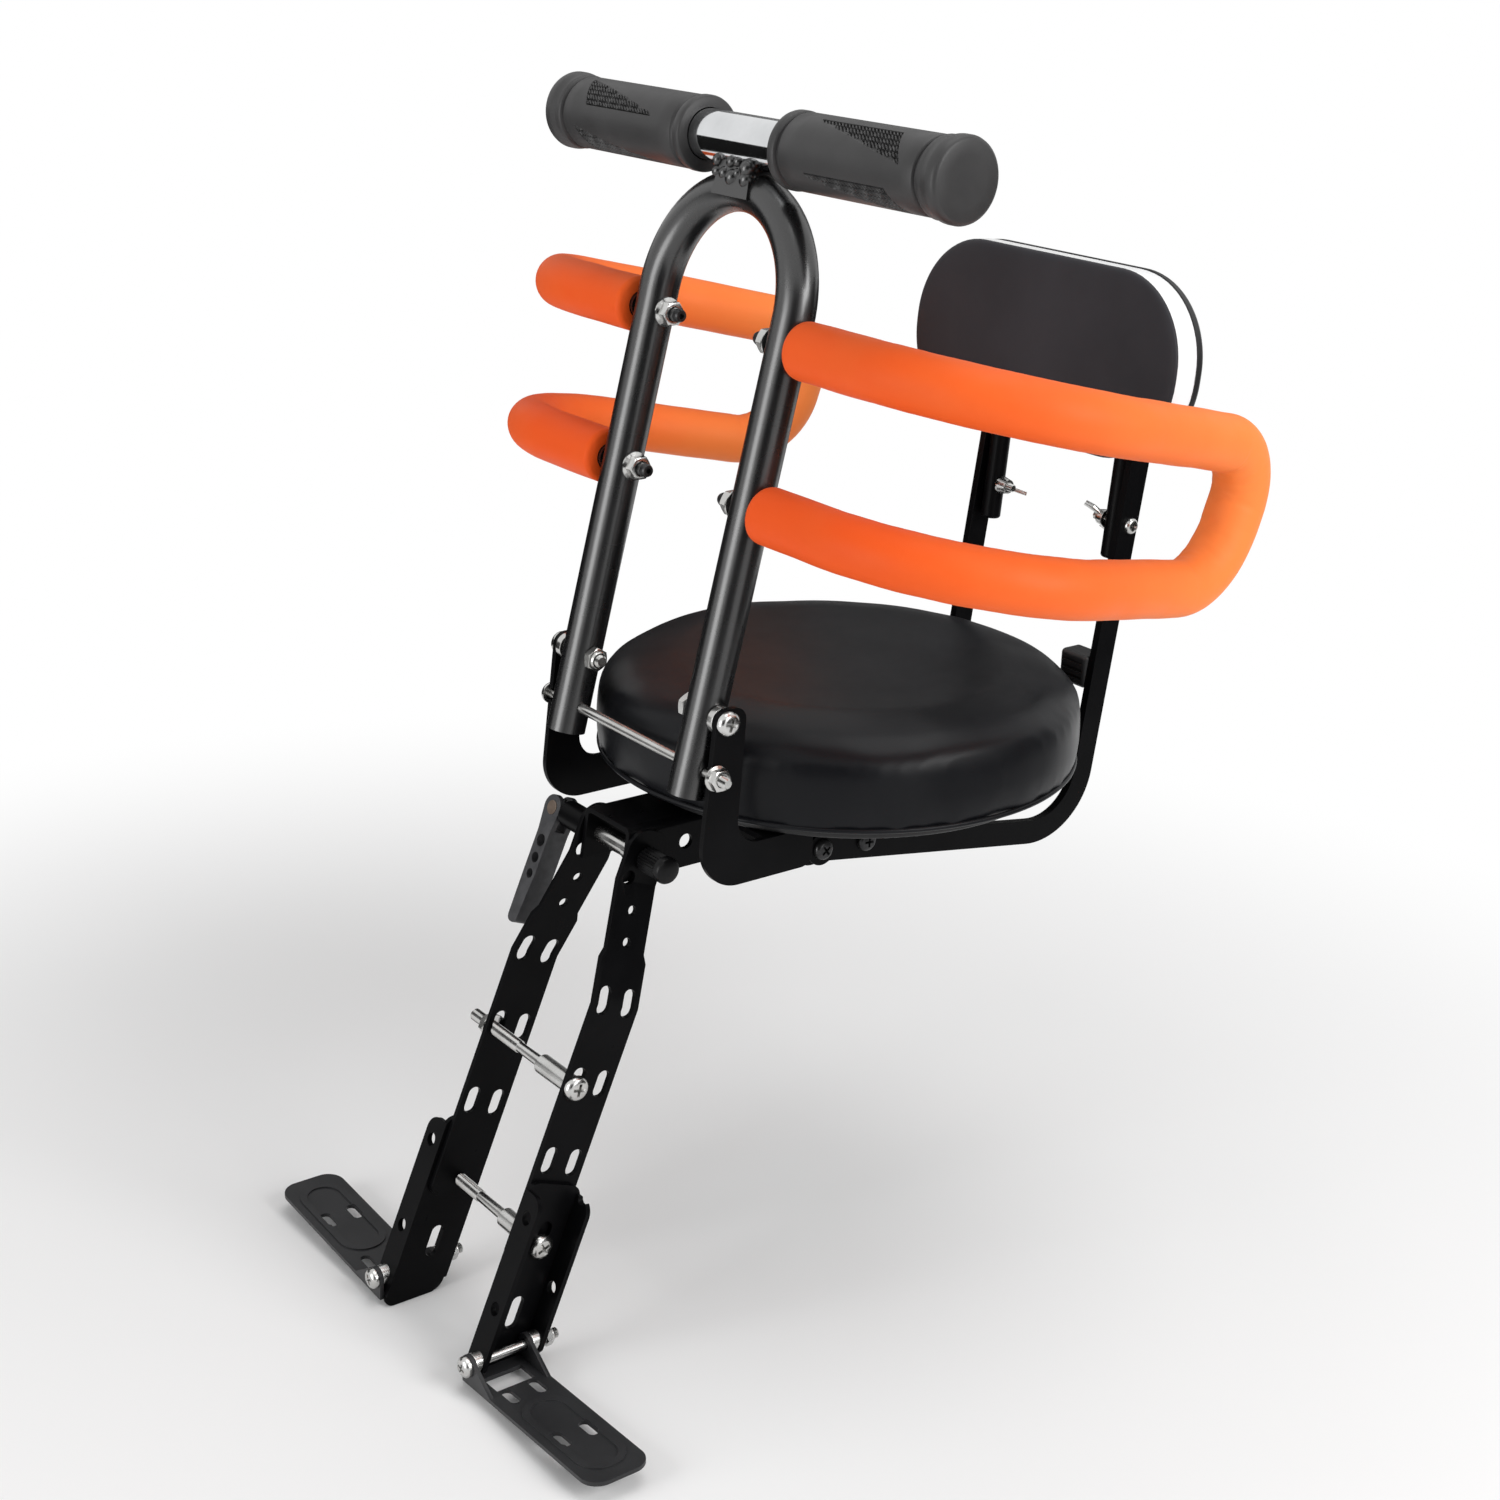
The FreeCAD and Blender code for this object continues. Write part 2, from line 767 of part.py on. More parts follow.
def guard_foam():
    """Left guard's foam sleeve with softened ends."""
    foam = guard_path(foam_r, foam_start)
    foam = foam.makeFillet(foam_edge, level_edges(foam, "X", foam_start))
    return foam.cut(guard_path(guard_r + face_gap, foam_start - past))


pair("guard_bar", placed(guard_bar(), loop_frame))
pair("guard_foam", placed(guard_foam(), loop_frame))

guard_nuts = []
for out in (X, -X):
    for s in (guard_low, guard_high):
        nut = aimed(hex_nut(guard_nut, stud_r), out * (loop_in - seat_gap) + Z * s, -out)
        guard_nuts.append(placed(nut, loop_frame))
save("guard_nuts", guard_nuts)

# Rear bars: flat bars from the tabs under the seat up to the backrest
wing_at = back_frame.multVec(V(0, tube_y, -wing_s))


def rear_bar():
    """Left flat bar with two bolt lobes in front and a rounded upper end."""
    mid = bar_in + bar_t / 2
    first = V(mid, bar_bolts[0][0], bar_bolts[0][1])
    knee = V(mid, seat_rear - bar_knee_ahead, bar_knee_z)
    top = V(mid, seat_rear + bar_top_behind, bar_top_z)
    start, middle, end = corner(first, knee, top, bar_knee_r)
    path = Part.Wire(
        [
            Part.makeLine(first, start),
            Part.Arc(start, middle, end).toShape(),
            Part.makeLine(end, top),
        ]
    )
    along = (knee - first).normalize()
    w = X.cross(along) * (bar_w / 2)
    t = X * (bar_t / 2)
    section = Part.makePolygon([first + w + t, first + w - t, first - w - t, first - w + t, first + w + t])
    pieces = [path.makePipeShell([section], True, False)]
    pieces.append(Part.makeCylinder(bar_w / 2, bar_t, V(bar_in, top.y, top.z), X))
    for y, z in bar_bolts:
        pieces.append(Part.makeCylinder(bar_lobe_r, bar_t, V(bar_in, y, z), X))
    holes = [cross_hole(wing_r + bolt_gap, bar_in, bar_out, wing_at.y, wing_at.z)]
    for y, z in bar_bolts:
        holes.append(cross_hole(bar_bolt_r + bolt_gap, bar_in, bar_out, y, z))
    return joined(pieces).cut(holes)


pair("rear_bar", rear_bar())

bar_screw = pan_screw(bar_bolt_head, bar_bolt_r, bar_t + seat_gap + sheet + bar_bolt_tail)
rear_bolts = []
rear_nuts = []
for out in (X, -X):
    for y, z in bar_bolts:
        rear_bolts.append(aimed(bar_screw, out * bar_out + V(0, y, z), out))
        rear_nuts.append(aimed(hex_nut(bar_bolt_nut, bar_bolt_r), out * (tab_x - sheet) + V(0, y, z), -out))
save("rear_bar_bolts", rear_bolts)
save("rear_bar_nuts", rear_nuts)


# Backrest, built upright in its own frame with the middle of its front face at the origin
def rounded_panel(y0, y1):
    """The backrest's outline as a panel from one depth to another."""
    b = block(-back_half_w, back_half_w, y0, y1, -back_half_h, back_half_h)
    m = (y0 + y1) / 2
    return rounded(b, back_corner, [V(x * back_half_w, m, z * back_half_h) for x in (-1, 1) for z in (-1, 1)])


shell_y = back_pad + seat_gap
tube_spots = [(side * tube_x, z) for side in (1, -1) for z in tube_screw_z]


def backrest_pad():
    """Padded front of the backrest."""
    pad = rounded_panel(0, back_pad)
    return pad.makeFillet(back_pad_edge, level_edges(pad, "Y", 0))


def backrest_shell():
    """Moulded rear of the backrest with blind screw holes."""
    shell = rounded_panel(shell_y, back_depth)
    shell = shell.makeFillet(back_shell_edge, level_edges(shell, "Y", back_depth))
    hole_r = tube_screw_r + thread_gap
    start = shell_y + shell_skin
    return shell.cut([rod(hole_r, V(x, start, z), V(x, back_depth + past, z)) for x, z in tube_spots])


def backrest_tube(side):
    """Round bar that carries the backrest, on one side."""
    x = side * tube_x
    t = rod(tube_r, V(x, tube_y, -tube_low), V(x, tube_y, tube_high))
    t = t.makeFillet(tube_edge, level_edges(t, "Z", -tube_low) + level_edges(t, "Z", tube_high))
    reach = tube_r + past
    holes = [cross_hole(wing_r + bolt_gap, x - tube_r, x + tube_r, tube_y, -wing_s)]
    for z in tube_screw_z:
        holes.append(rod(tube_screw_r + bolt_gap, V(x, tube_y - reach, z), V(x, tube_y + reach, z)))
    return t.cut(holes)


tube_screw = pan_screw(tube_screw_head, tube_screw_r, 2 * tube_r + face_gap + tube_screw_bite)
back_screws = [aimed(tube_screw, V(x, tube_y + tube_r + seat_gap, z), Y) for x, z in tube_spots]
save("backrest_pad", placed(backrest_pad(), back_frame))
save("backrest_shell", placed(backrest_shell(), back_frame))
save("backrest_tube_left", placed(backrest_tube(1), back_frame))
save("backrest_tube_right", placed(backrest_tube(-1), back_frame))
save("backrest_screws", [placed(s, back_frame) for s in back_screws])


def wing_nut():
    """Wing nut standing on z = 0."""
    base = Part.makeCone(wing_base_r, wing_neck_r, wing_base_h)
    root = wing_neck_r - past
    shoulder = wing_span - 2 * past
    fin = face_of(
        [
            V(root, 0, past),
            V(shoulder, 0, wing_base_h - past),
            V(wing_span, 0, wing_h - 2 * past),
            V(shoulder, 0, wing_h),
            V(root, 0, wing_base_h - past),
        ]
    )
    fin = moved(fin.extrude(V(0, wing_t, 0)), 0, -wing_t / 2, 0)
    other = fin.copy()
    other.rotate(V(0, 0, 0), Z, 180)
    return joined([base, fin, other]).cut(Part.makeCylinder(wing_r + thread_gap, wing_h))


wing_screw = pan_screw(wing_head, wing_r, bar_out - tube_x + tube_r + wing_tail)
wing_screws = []
wing_nuts = []
for out in (X, -X):
    level = V(0, wing_at.y, wing_at.z)
    wing_screws.append(aimed(wing_screw, out * bar_out + level, out))
    wing_nuts.append(aimed(wing_nut(), out * (tube_x - tube_r - face_gap) + level, -out))
save("wing_screws", wing_screws)
save("wing_nuts", wing_nuts)

# Strap block on the inner face of the left rear bar
strap_front = seat_rear + strap_behind
strap = block(tab_x - strap_w, tab_x, strap_front, strap_front + strap_d, strap_low, strap_low + strap_h)
strap = strap.makeFillet(strap_edge, strap.Edges)
rib_cuts = []
for rise in strap_ribs:
    z0 = strap_low + rise
    x0 = tab_x - strap_w - past
    y1 = strap_front + strap_rib_d
    groove = block(x0, tab_x - strap_edge, strap_front - past, y1, z0, z0 + strap_rib_w)
    rib_cuts.append(groove)
save("strap_block", strap.cut(rib_cuts))


# Legs, built upright in their own frame with the skewer at the origin
def leg_outline():
    """Tool that trims the left leg to its outline: round top, narrow strip, wider plate."""
    a = leg_strip_w / 2
    b = leg_plate_w / 2
    shoulder = -leg_step - leg_step_run
    right = [(a, leg_top), (a, -leg_step), (b, shoulder), (b, -leg_len)]
    left = [(-y, z) for y, z in reversed(right)]
    trim = plate_yz(right + left, 0, clear)
    mid = clear / 2
    trim = rounded(trim, a * leg_crown, [V(mid, -a, leg_top), V(mid, a, leg_top)])
    return rounded(trim, leg_corner, [V(mid, -b, -leg_len), V(mid, b, -leg_len)])


def leg():
    """Left leg: strip on the channel's flange, splay round the tube, slotted plate below."""
    s0 = -leg_splay_start
    s1 = -leg_splay_end
    slope = math.atan2(leg_x - leg_in, leg_splay_end - leg_splay_start)
    shift = leg_t * math.tan(slope / 2)
    profile = [
        (leg_in, leg_top),
        (leg_in, s0),
        (leg_x, s1),
        (leg_x, -leg_len),
        (leg_x + leg_t, -leg_len),
        (leg_x + leg_t, s1 + shift),
        (leg_out, s0 + shift),
        (leg_out, leg_top),
    ]
    body = face_of([V(x, -leg_plate_w, z) for x, z in profile]).extrude(V(0, 2 * leg_plate_w, 0))
    body = body.common(leg_outline())
    across, below = leg_pin_hole
    cuts = [
        cross_hole(skewer_r + bolt_gap, 0, clear, 0, 0),
        cross_hole(leg_pin_hole_r, 0, clear, across, -below),
        cross_hole(clamp_r + bolt_gap, 0, clear, clamp_lower_y, -clamp_lower_s),
    ]
    for s in leg_holes:
        cuts.append(cross_hole(leg_hole_r, 0, clear, 0, -s))
    slot = aimed(stadium(leg_slot_len, leg_slot_w, clear), V(0, 0, 0), X)
    for s in leg_slot_rows:
        for y in (-leg_slot_y, leg_slot_y):
            cuts.append(moved(slot, 0, y, -s))
    return body.cut(cuts)


# Hinge pins of the footrests lie level along Y although the legs lean
pin_mid = leg_frame.multVec(V(foot_pin_x, 0, -foot_pin_s))
lean = math.radians(leg_lean)
flange_y = foot_w / 2
front_flange = pin_mid.y - flange_y / math.cos(lean)
rear_flange = pin_mid.y + (flange_y - foot_t) / math.cos(lean)
front_cheek = front_flange - rest_side_gap
rear_cheek = rear_flange - rest_side_gap


def level_rod(r, at):
    """A tool along Y that passes the whole object."""
    return rod(r, at - Y * clear, at + Y * clear)


def below_pin(x0, z1):
    """A tool that takes away all that lies outside x0 and below z1."""
    return block(x0, clear, -clear, clear, z1 - clear, z1)


def foot_bracket():
    """Left channel-shaped bracket: web on the leg, flanges outwards, level holes for the pin."""
    h = flange_y
    low = -foot_pin_s - 2 * foot_web_drop
    mid = web_x + foot_t / 2
    edge = web_x + foot_depth
    flange_top = -foot_top - foot_flange_drop
    web = block(web_x, web_x + foot_t, -h, h, low, -foot_top)
    web = rounded(web, foot_corner, [V(mid, -h, -foot_top), V(mid, h, -foot_top)])
    pieces = [placed(web, leg_frame).cut(below_pin(0, pin_mid.z - foot_web_drop))]
    outside_eye = below_pin(foot_pin_x, pin_mid.z).cut(level_rod(foot_eye_r, pin_mid))
    under_eye = below_pin(0, pin_mid.z - foot_eye_r)
    for y in (-h, h - foot_t):
        f = block(web_x, edge, y, y + foot_t, low, flange_top)
        f = rounded(f, foot_flange_corner, [V(edge, y + foot_t / 2, flange_top)])
        pieces.append(placed(f, leg_frame).cut([under_eye, outside_eye]))
    cuts = [level_rod(pin_r + bolt_gap, pin_mid)]
    for s in foot_hole_s:
        cuts.append(level_rod(foot_hole_r, leg_frame.multVec(V(web_x + foot_hole_depth, 0, -s))))
    slot = aimed(stadium(foot_slot_len, leg_slot_w, clear), V(0, 0, 0), X)
    for s, y in foot_slots:
        cuts.append(placed(moved(slot, 0, y, -s), leg_frame))
    return joined(pieces).cut(cuts)


pair("leg", placed(leg(), leg_frame))
pair("foot_bracket", foot_bracket())


def footrest():
    """Left footrest: plate, two cheeks, root window, slots and a raised rib, tilted up about its pin."""
    y0 = front_cheek - rest_cheek
    y1 = rear_cheek
    centre = (y0 + y1) / 2
    top = pin_mid.z - rest_drop
    low = top - rest_t
    root = web_x + foot_t + face_gap
    plate = block(root, rest_tip, y0, y1, low, top)
    mid = top - rest_t / 2
    plate = rounded(plate, rest_corner, [V(rest_tip, y0, mid), V(rest_tip, y1, mid)])
    slant = math.sqrt(0.5)
    cheek = face_of(
        [
            V(root, 0, low),
            V(root + rest_cheek_len, 0, low),
            V(root + rest_cheek_len, 0, top),
            V(foot_pin_x + rest_eye_r * slant, 0, pin_mid.z + rest_eye_r * slant),
            V(foot_pin_x - rest_eye_r, 0, pin_mid.z),
        ]
    ).extrude(V(0, rest_cheek, 0))
    cheek = cheek.fuse(Part.makeCylinder(rest_eye_r, rest_cheek, V(foot_pin_x, 0, pin_mid.z), Y))
    cheeks = [moved(cheek, 0, y, 0) for y in (y0, y1 - rest_cheek)]
    rib = stadium(rest_rib_len, rest_rib_across, rest_rib)
    inside = 2 * rest_rib_w
    rib = rib.cut(stadium(rest_rib_len - inside, rest_rib_across - inside, rest_rib))
    whole = joined([plate, moved(rib, rest_tip - rest_rib_in, centre, top)] + cheeks)
    w0, w1 = rest_window
    edge = rest_window_edge
    cuts = [level_rod(pin_r + run_gap, pin_mid)]
    cuts.append(block(root + w0, root + w1, y0 + edge, y1 - edge, low - past, top + past))
    slot = stadium(rest_slot_len, rest_slot_w, rest_t + 2 * past)
    for inset in rest_slot_in:
        for y in (-rest_slot_y, rest_slot_y):
            cuts.append(moved(slot, rest_tip - inset, centre + y, low - past))
    whole = whole.cut(cuts)
    whole.rotate(pin_mid, Y, -rest_rise)
    return whole


pair("footrest", footrest())

# Hinge pins with their nuts, and the bushes that fill the leaning gaps
pin_front = front_cheek - rest_cheek - face_gap
pin_rear = pin_mid.y + flange_y / math.cos(lean) + foot_eye_r * math.tan(lean)
hinge_pin = pan_screw(pin_head, pin_r, pin_rear - pin_front + pin_tail)
bush_reach = rest_side_gap + 2 * foot_eye_r
pins = []
pin_nuts = []
bushes = []
behind_front = placed(block(-clear, clear, -flange_y, clear, -clear, clear), leg_frame)
behind_rear = placed(block(-clear, clear, flange_y - foot_t, clear, -clear, clear), leg_frame)
for side in (1, -1):
    at = V(side * foot_pin_x, 0, pin_mid.z)
    pins.append(aimed(hinge_pin, at + Y * pin_front, -Y))
    pin_nuts.append(aimed(hex_nut(pin_nut, pin_r), at + Y * pin_rear, Y))
    for cheek_y, flange in ((front_cheek, behind_front), (rear_cheek, behind_rear)):
        start = at + Y * (cheek_y + face_gap)
        b = tube(pin_bush_r, pin_r + bolt_gap, start, start + Y * bush_reach)
        bushes.append(b.cut(flange))
save("footrest_pins", pins)
save("footrest_nuts", pin_nuts)
save("footrest_bushes", bushes)

# Clamp bolts across the legs, each with a spacer sleeve and a nut on the right
clamp_spots = (
    (leg_frame.multVec(V(0, -leg_slot_y, -clamp_upper_s)), web_x),
    (leg_frame.multVec(V(0, clamp_lower_y, -clamp_lower_s)), web_x + foot_t + seat_gap),
)
clamps = []
sleeves = []
clamp_nuts = []
for at, seat in clamp_spots:
    clamps.append(aimed(pan_screw(clamp_head, clamp_r, 2 * seat + clamp_tail), at + X * seat, X))
    a = at + X * (leg_x - seat_gap)
    sleeves.append(tube(clamp_sleeve_r, clamp_r + bolt_gap, a, a - X * clamp_sleeve_len))
    clamp_nuts.append(aimed(hex_nut(clamp_nut, clamp_r), at - X * seat, -X))
save("clamp_bolts", clamps)
save("clamp_sleeves", sleeves)
save("clamp_nuts", clamp_nuts)

# Quick release: skewer with an eye, sleeve, bush, lever on its pin and adjusting nut
qr = V(0, 0, qr_z)
sleeve_half = channel_x - channel_t - seat_gap
qr_sleeve = joined(
    [
        rod(sleeve_r, qr - X * sleeve_half, qr + X * sleeve_half),
        rod(sleeve_step_r, qr + X * (sleeve_half - sleeve_step_len), qr + X * sleeve_half),
    ]
)
save("qr_sleeve", qr_sleeve.cut(cross_hole(skewer_r + bolt_gap, -sleeve_half, sleeve_half, 0, qr_z)))


def qr_bush():
    """Long bush between the right leg and the cam."""
    near = leg_out + seat_gap
    b = rod(bush_r, qr - X * near, qr - X * bush_out)
    b = b.makeFillet(bush_edge, level_edges(b, "X", -near) + level_edges(b, "X", -bush_out))
    return b.cut(cross_hole(skewer_r + bolt_gap, -bush_out, -near, 0, qr_z))


save("qr_bush", qr_bush())

# The rest of the quick release is built in the legs' frame, about the cam's pin
cam = V(-cam_x, 0, 0)


def qr_skewer():
    """Skewer with an eye for the cam's pin."""
    eye_half = lever_fork / 2 - face_gap
    eye = rod(lever_pin_r + skewer_eye, cam - Y * eye_half, cam + Y * eye_half)
    s = joined([rod(skewer_r, cam, X * skewer_end), eye])
    return s.cut(rod(lever_pin_r + seat_gap, cam - Y * lever_t, cam + Y * lever_t))


def qr_lever():
    """Forked cam lever, hanging down from its pin, with openings along its arm."""
    y = -lever_t / 2
    heights = (-lever_neck, -lever_knee, -lever_len)
    inner = [V(lever_head_r, y, 0)] + [V(x, y, z) for x, z in zip(lever_inner, heights)]
    outer = [V(-lever_head_r, y, 0)] + [V(x, y, z) for x, z in zip(lever_outer, heights)]
    arm = face_of(inner + outer[::-1]).extrude(V(0, lever_t, 0))
    s = joined([Part.makeCylinder(lever_head_r, lever_t, V(0, y, 0), Y), arm])
    s = rounded(s, lever_tip_r, [V(lever_inner[-1], 0, -lever_len), V(lever_outer[-1], 0, -lever_len)])
    fork = lever_fork / 2
    openings = [block(-clear, clear, -fork, fork, -lever_fork_len, clear)]
    openings.append(level_rod(lever_pin_r + run_gap, V(0, 0, 0)))
    for below, r in lever_holes:
        openings.append(level_rod(r, V(0, 0, -below)))
    return placed(s.cut(openings), Place(cam, Rot()))


def thumb_nut():
    """Adjusting nut with a narrow foot and a smooth closed cap."""
    body_end = thumb_len - thumb_cap_len
    bore = skewer_r + thread_gap
    outline = [
        (bore, 0),
        (thumb_foot_r, 0),
        (thumb_foot_r, thumb_foot_len),
        (thumb_r, thumb_foot_len),
        (thumb_r, body_end),
        (thumb_cap_r, body_end),
        (thumb_cap_r, thumb_len - thumb_cap_edge),
        (thumb_cap_r - thumb_cap_edge, thumb_len),
        (0, thumb_len),
        (0, thumb_len - thumb_skin + seat_gap),
        (bore, thumb_len - thumb_skin + seat_gap),
    ]
    return aimed(turned(outline), X * nut_in, X)


pin_half = lever_t / 2 + lever_pin_proud
save("qr_skewer", placed(qr_skewer(), leg_frame))
save("qr_pin", placed(rod(lever_pin_r, cam - Y * pin_half, cam + Y * pin_half), leg_frame))
save("qr_lever", placed(qr_lever(), leg_frame))
save("qr_nut", placed(thumb_nut(), leg_frame))
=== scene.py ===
import json
import logging
import math
from dataclasses import dataclass, field
from enum import Enum
from typing import Callable, Optional, Sequence

import bmesh
import bpy
import numpy
from bmesh.types import BMEdge, BMesh, BMVert
from bpy.types import Material, Mesh, Node, NodeSocket, NodeTree, Object
from mathutils import Matrix, Vector, noise


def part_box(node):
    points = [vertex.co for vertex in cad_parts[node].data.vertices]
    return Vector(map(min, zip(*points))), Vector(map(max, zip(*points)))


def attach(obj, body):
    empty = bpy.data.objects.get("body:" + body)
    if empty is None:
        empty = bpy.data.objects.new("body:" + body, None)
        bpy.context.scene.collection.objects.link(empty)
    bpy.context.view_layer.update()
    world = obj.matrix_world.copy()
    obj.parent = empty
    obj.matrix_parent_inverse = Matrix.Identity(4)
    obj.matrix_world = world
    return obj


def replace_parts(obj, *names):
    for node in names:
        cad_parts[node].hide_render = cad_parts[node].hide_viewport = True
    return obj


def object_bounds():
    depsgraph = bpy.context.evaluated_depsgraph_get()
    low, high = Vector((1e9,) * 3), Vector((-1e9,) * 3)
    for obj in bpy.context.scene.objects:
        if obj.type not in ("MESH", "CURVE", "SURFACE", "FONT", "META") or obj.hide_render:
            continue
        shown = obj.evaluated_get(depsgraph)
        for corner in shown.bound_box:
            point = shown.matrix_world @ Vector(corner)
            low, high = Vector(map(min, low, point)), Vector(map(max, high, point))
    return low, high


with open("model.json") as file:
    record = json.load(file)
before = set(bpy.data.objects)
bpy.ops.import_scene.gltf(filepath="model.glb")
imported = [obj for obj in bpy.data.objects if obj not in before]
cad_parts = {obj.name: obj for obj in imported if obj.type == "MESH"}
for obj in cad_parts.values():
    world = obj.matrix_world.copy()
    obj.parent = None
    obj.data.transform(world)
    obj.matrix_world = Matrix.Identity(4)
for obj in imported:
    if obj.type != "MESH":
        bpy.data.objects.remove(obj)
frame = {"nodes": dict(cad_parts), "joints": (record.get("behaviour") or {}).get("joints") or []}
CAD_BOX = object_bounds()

# Lengths in the classes are in millimetres, as on a drawing, and MM turns them into the scene's metres.
MM = 0.001
WELD = 1e-6
LOG = logging.getLogger("child_seat")
WHITE = (1.0, 1.0, 1.0, 1.0)

# The handle loop and the backrest lean back by these angles in degrees
LOOP_LEAN = 13.4
BACK_LEAN = 4.5

Colour = tuple[float, float, float]
Outline = Sequence[tuple[float, float]]


class Body(Enum):
    """The bodies that pieces ride on."""

    FRAME = "seat_frame"
    HANDLE = "handle"
    LEVER = "quick_release_lever"
    LEFT_REST = "left_footrest"
    RIGHT_REST = "right_footrest"


class Slot(Enum):
    """The record's material slots."""

    BLACK_STEEL = "black_steel"
    FOOTREST = "footrest_steel"
    ZINC = "zinc_steel"
    CHROME = "handlebar_chrome"
    FOAM = "guard_foam"
    GRIP = "grip_rubber"
    CUSHION = "cushion_leather"
    BACKREST = "backrest_cover"
    SHELL = "backrest_shell"
    BOARD = "board_plastic"
    STRAP = "strap_plastic"
    LEVER = "lever_alloy"
    THUMB_NUT = "nut_black"
    LEVER_PIN = "lever_pin"


class Side(Enum):
    """Left and right of the bicycle, as the sign of X."""

    LEFT = 1
    RIGHT = -1

    @property
    def word(self) -> str:
        """The side's name as used in node names."""
        return self.name.lower()


class Grain(Enum):
    """The fine relief that a surface has."""

    PEEL = "orange peel of a powder coat"
    LEATHER = "rounded cells of artificial leather"
    PORES = "skin of closed-cell foam"
    MATT = "moulded rubber or plastic"
    TURNED = "fine marks on bare metal"


class Shading:
    """Node tree of one material, on Object coordinates. Its noise lies mostly between the two levels."""

    LOW = 0.3
    HIGH = 0.7

    def __init__(self, name: str) -> None:
        """Starts a material with its shader and coordinates.

        Args:
            name: The material's name.
        """
        self.material = bpy.data.materials.new(name)
        self.material.use_nodes = True
        self.tree = self.material.node_tree
        self.shader = self.tree.nodes["Principled BSDF"]
        self.output = self.tree.nodes["Material Output"]
        self.place = self.add("ShaderNodeTexCoord").outputs["Object"]

    def add(self, kind: str, **values: object) -> Node:
        """Adds a node and sets its sockets.

        Args:
            kind: The node's type name.
            values: Socket values, with underscores for spaces in the names.

        Returns:
            The new node.
        """
        node = self.tree.nodes.new(kind)
        for key, value in values.items():
            node.inputs[key.replace("_", " ")].default_value = value
        return node

    def link(self, source: NodeSocket, target: NodeSocket) -> None:
        """Joins two sockets."""
        self.tree.links.new(source, target)

    def set(self, **values: object) -> None:
        """Sets constant sockets of the shader."""
        for key, value in values.items():
            self.shader.inputs[key.replace("_", " ")].default_value = value

    def noise(self, size: float, detail: float = 3.0, stretch: Optional[Colour] = None) -> NodeSocket:
        """Adds a cloud of noise.

        Args:
            size: Size of one cloud in metres.
            detail: Number of finer octaves.
            stretch: Factors along X, Y and Z, or None.

        Returns:
            The noise's value.
        """
        node = self.add("ShaderNodeTexNoise", Scale=1.0 / size, Detail=detail, Roughness=0.55)
        self.link(self.turned_place(stretch), node.inputs["Vector"])
        return node.outputs[0]

    def turned_place(self, stretch: Optional[Colour]) -> NodeSocket:
        """The coordinates, stretched where asked.

        Args:
            stretch: Factors along X, Y and Z, or None.

        Returns:
            The coordinates.
        """
        if stretch is None:
            return self.place
        mapping = self.add("ShaderNodeMapping")
        mapping.inputs["Scale"].default_value = stretch
        self.link(self.place, mapping.inputs["Vector"])
        return mapping.outputs["Vector"]

    def cells(self, size: float, edges: bool) -> NodeSocket:
        """Adds small cells.

        Args:
            size: Size of one cell in metres.
            edges: True for the distance to the cells' edges, False for round dots.

        Returns:
            The distance.
        """
        node = self.add("ShaderNodeTexVoronoi", Scale=1.0 / size)
        node.feature = "DISTANCE_TO_EDGE" if edges else "F1"
        self.link(self.place, node.inputs["Vector"])
        return node.outputs["Distance"]

    def ramp(self, value: NodeSocket, low: Colour, high: Colour,
             span: tuple[float, float] = (0.35, 0.65)) -> NodeSocket:
        """Turns a value into a colour between two colours.

        Args:
            value: The value to turn.
            low: Colour at the start of the span.
            high: Colour at its end.
            span: The two values that the colour changes between.

        Returns:
            The colour.
        """
        node = self.add("ShaderNodeValToRGB")
        self.link(value, node.inputs["Fac"])
        for stop, place, colour in zip(node.color_ramp.elements, span, (low, high)):
            stop.position = place
            stop.color = (*colour, 1.0)
        return node.outputs["Color"]

    def span(self, value: NodeSocket, low: float, high: float) -> NodeSocket:
        """Turns a noise value into a range.

        Args:
            value: The noise.
            low: Result where it is low.
            high: Result where it is high.

        Returns:
            The value in the range.
        """
        node = self.add("ShaderNodeMapRange", From_Min=self.LOW, From_Max=self.HIGH, To_Min=low,
                        To_Max=high)
        self.link(value, node.inputs["Value"])
        return node.outputs["Result"]

    def bump(self, height: NodeSocket, depth: float, under: Optional[NodeSocket] = None) -> NodeSocket:
        """Adds relief of a real depth in metres, over another relief if given.

        Args:
            height: The relief.
            depth: Its depth.
            under: Normal of the relief below, or None.

        Returns:
            The normal.
        """
        node = self.add("ShaderNodeBump", Strength=1.0, Distance=depth)
        self.link(height, node.inputs["Height"])
        if under is not None:
            self.link(under, node.inputs["Normal"])
        return node.outputs["Normal"]


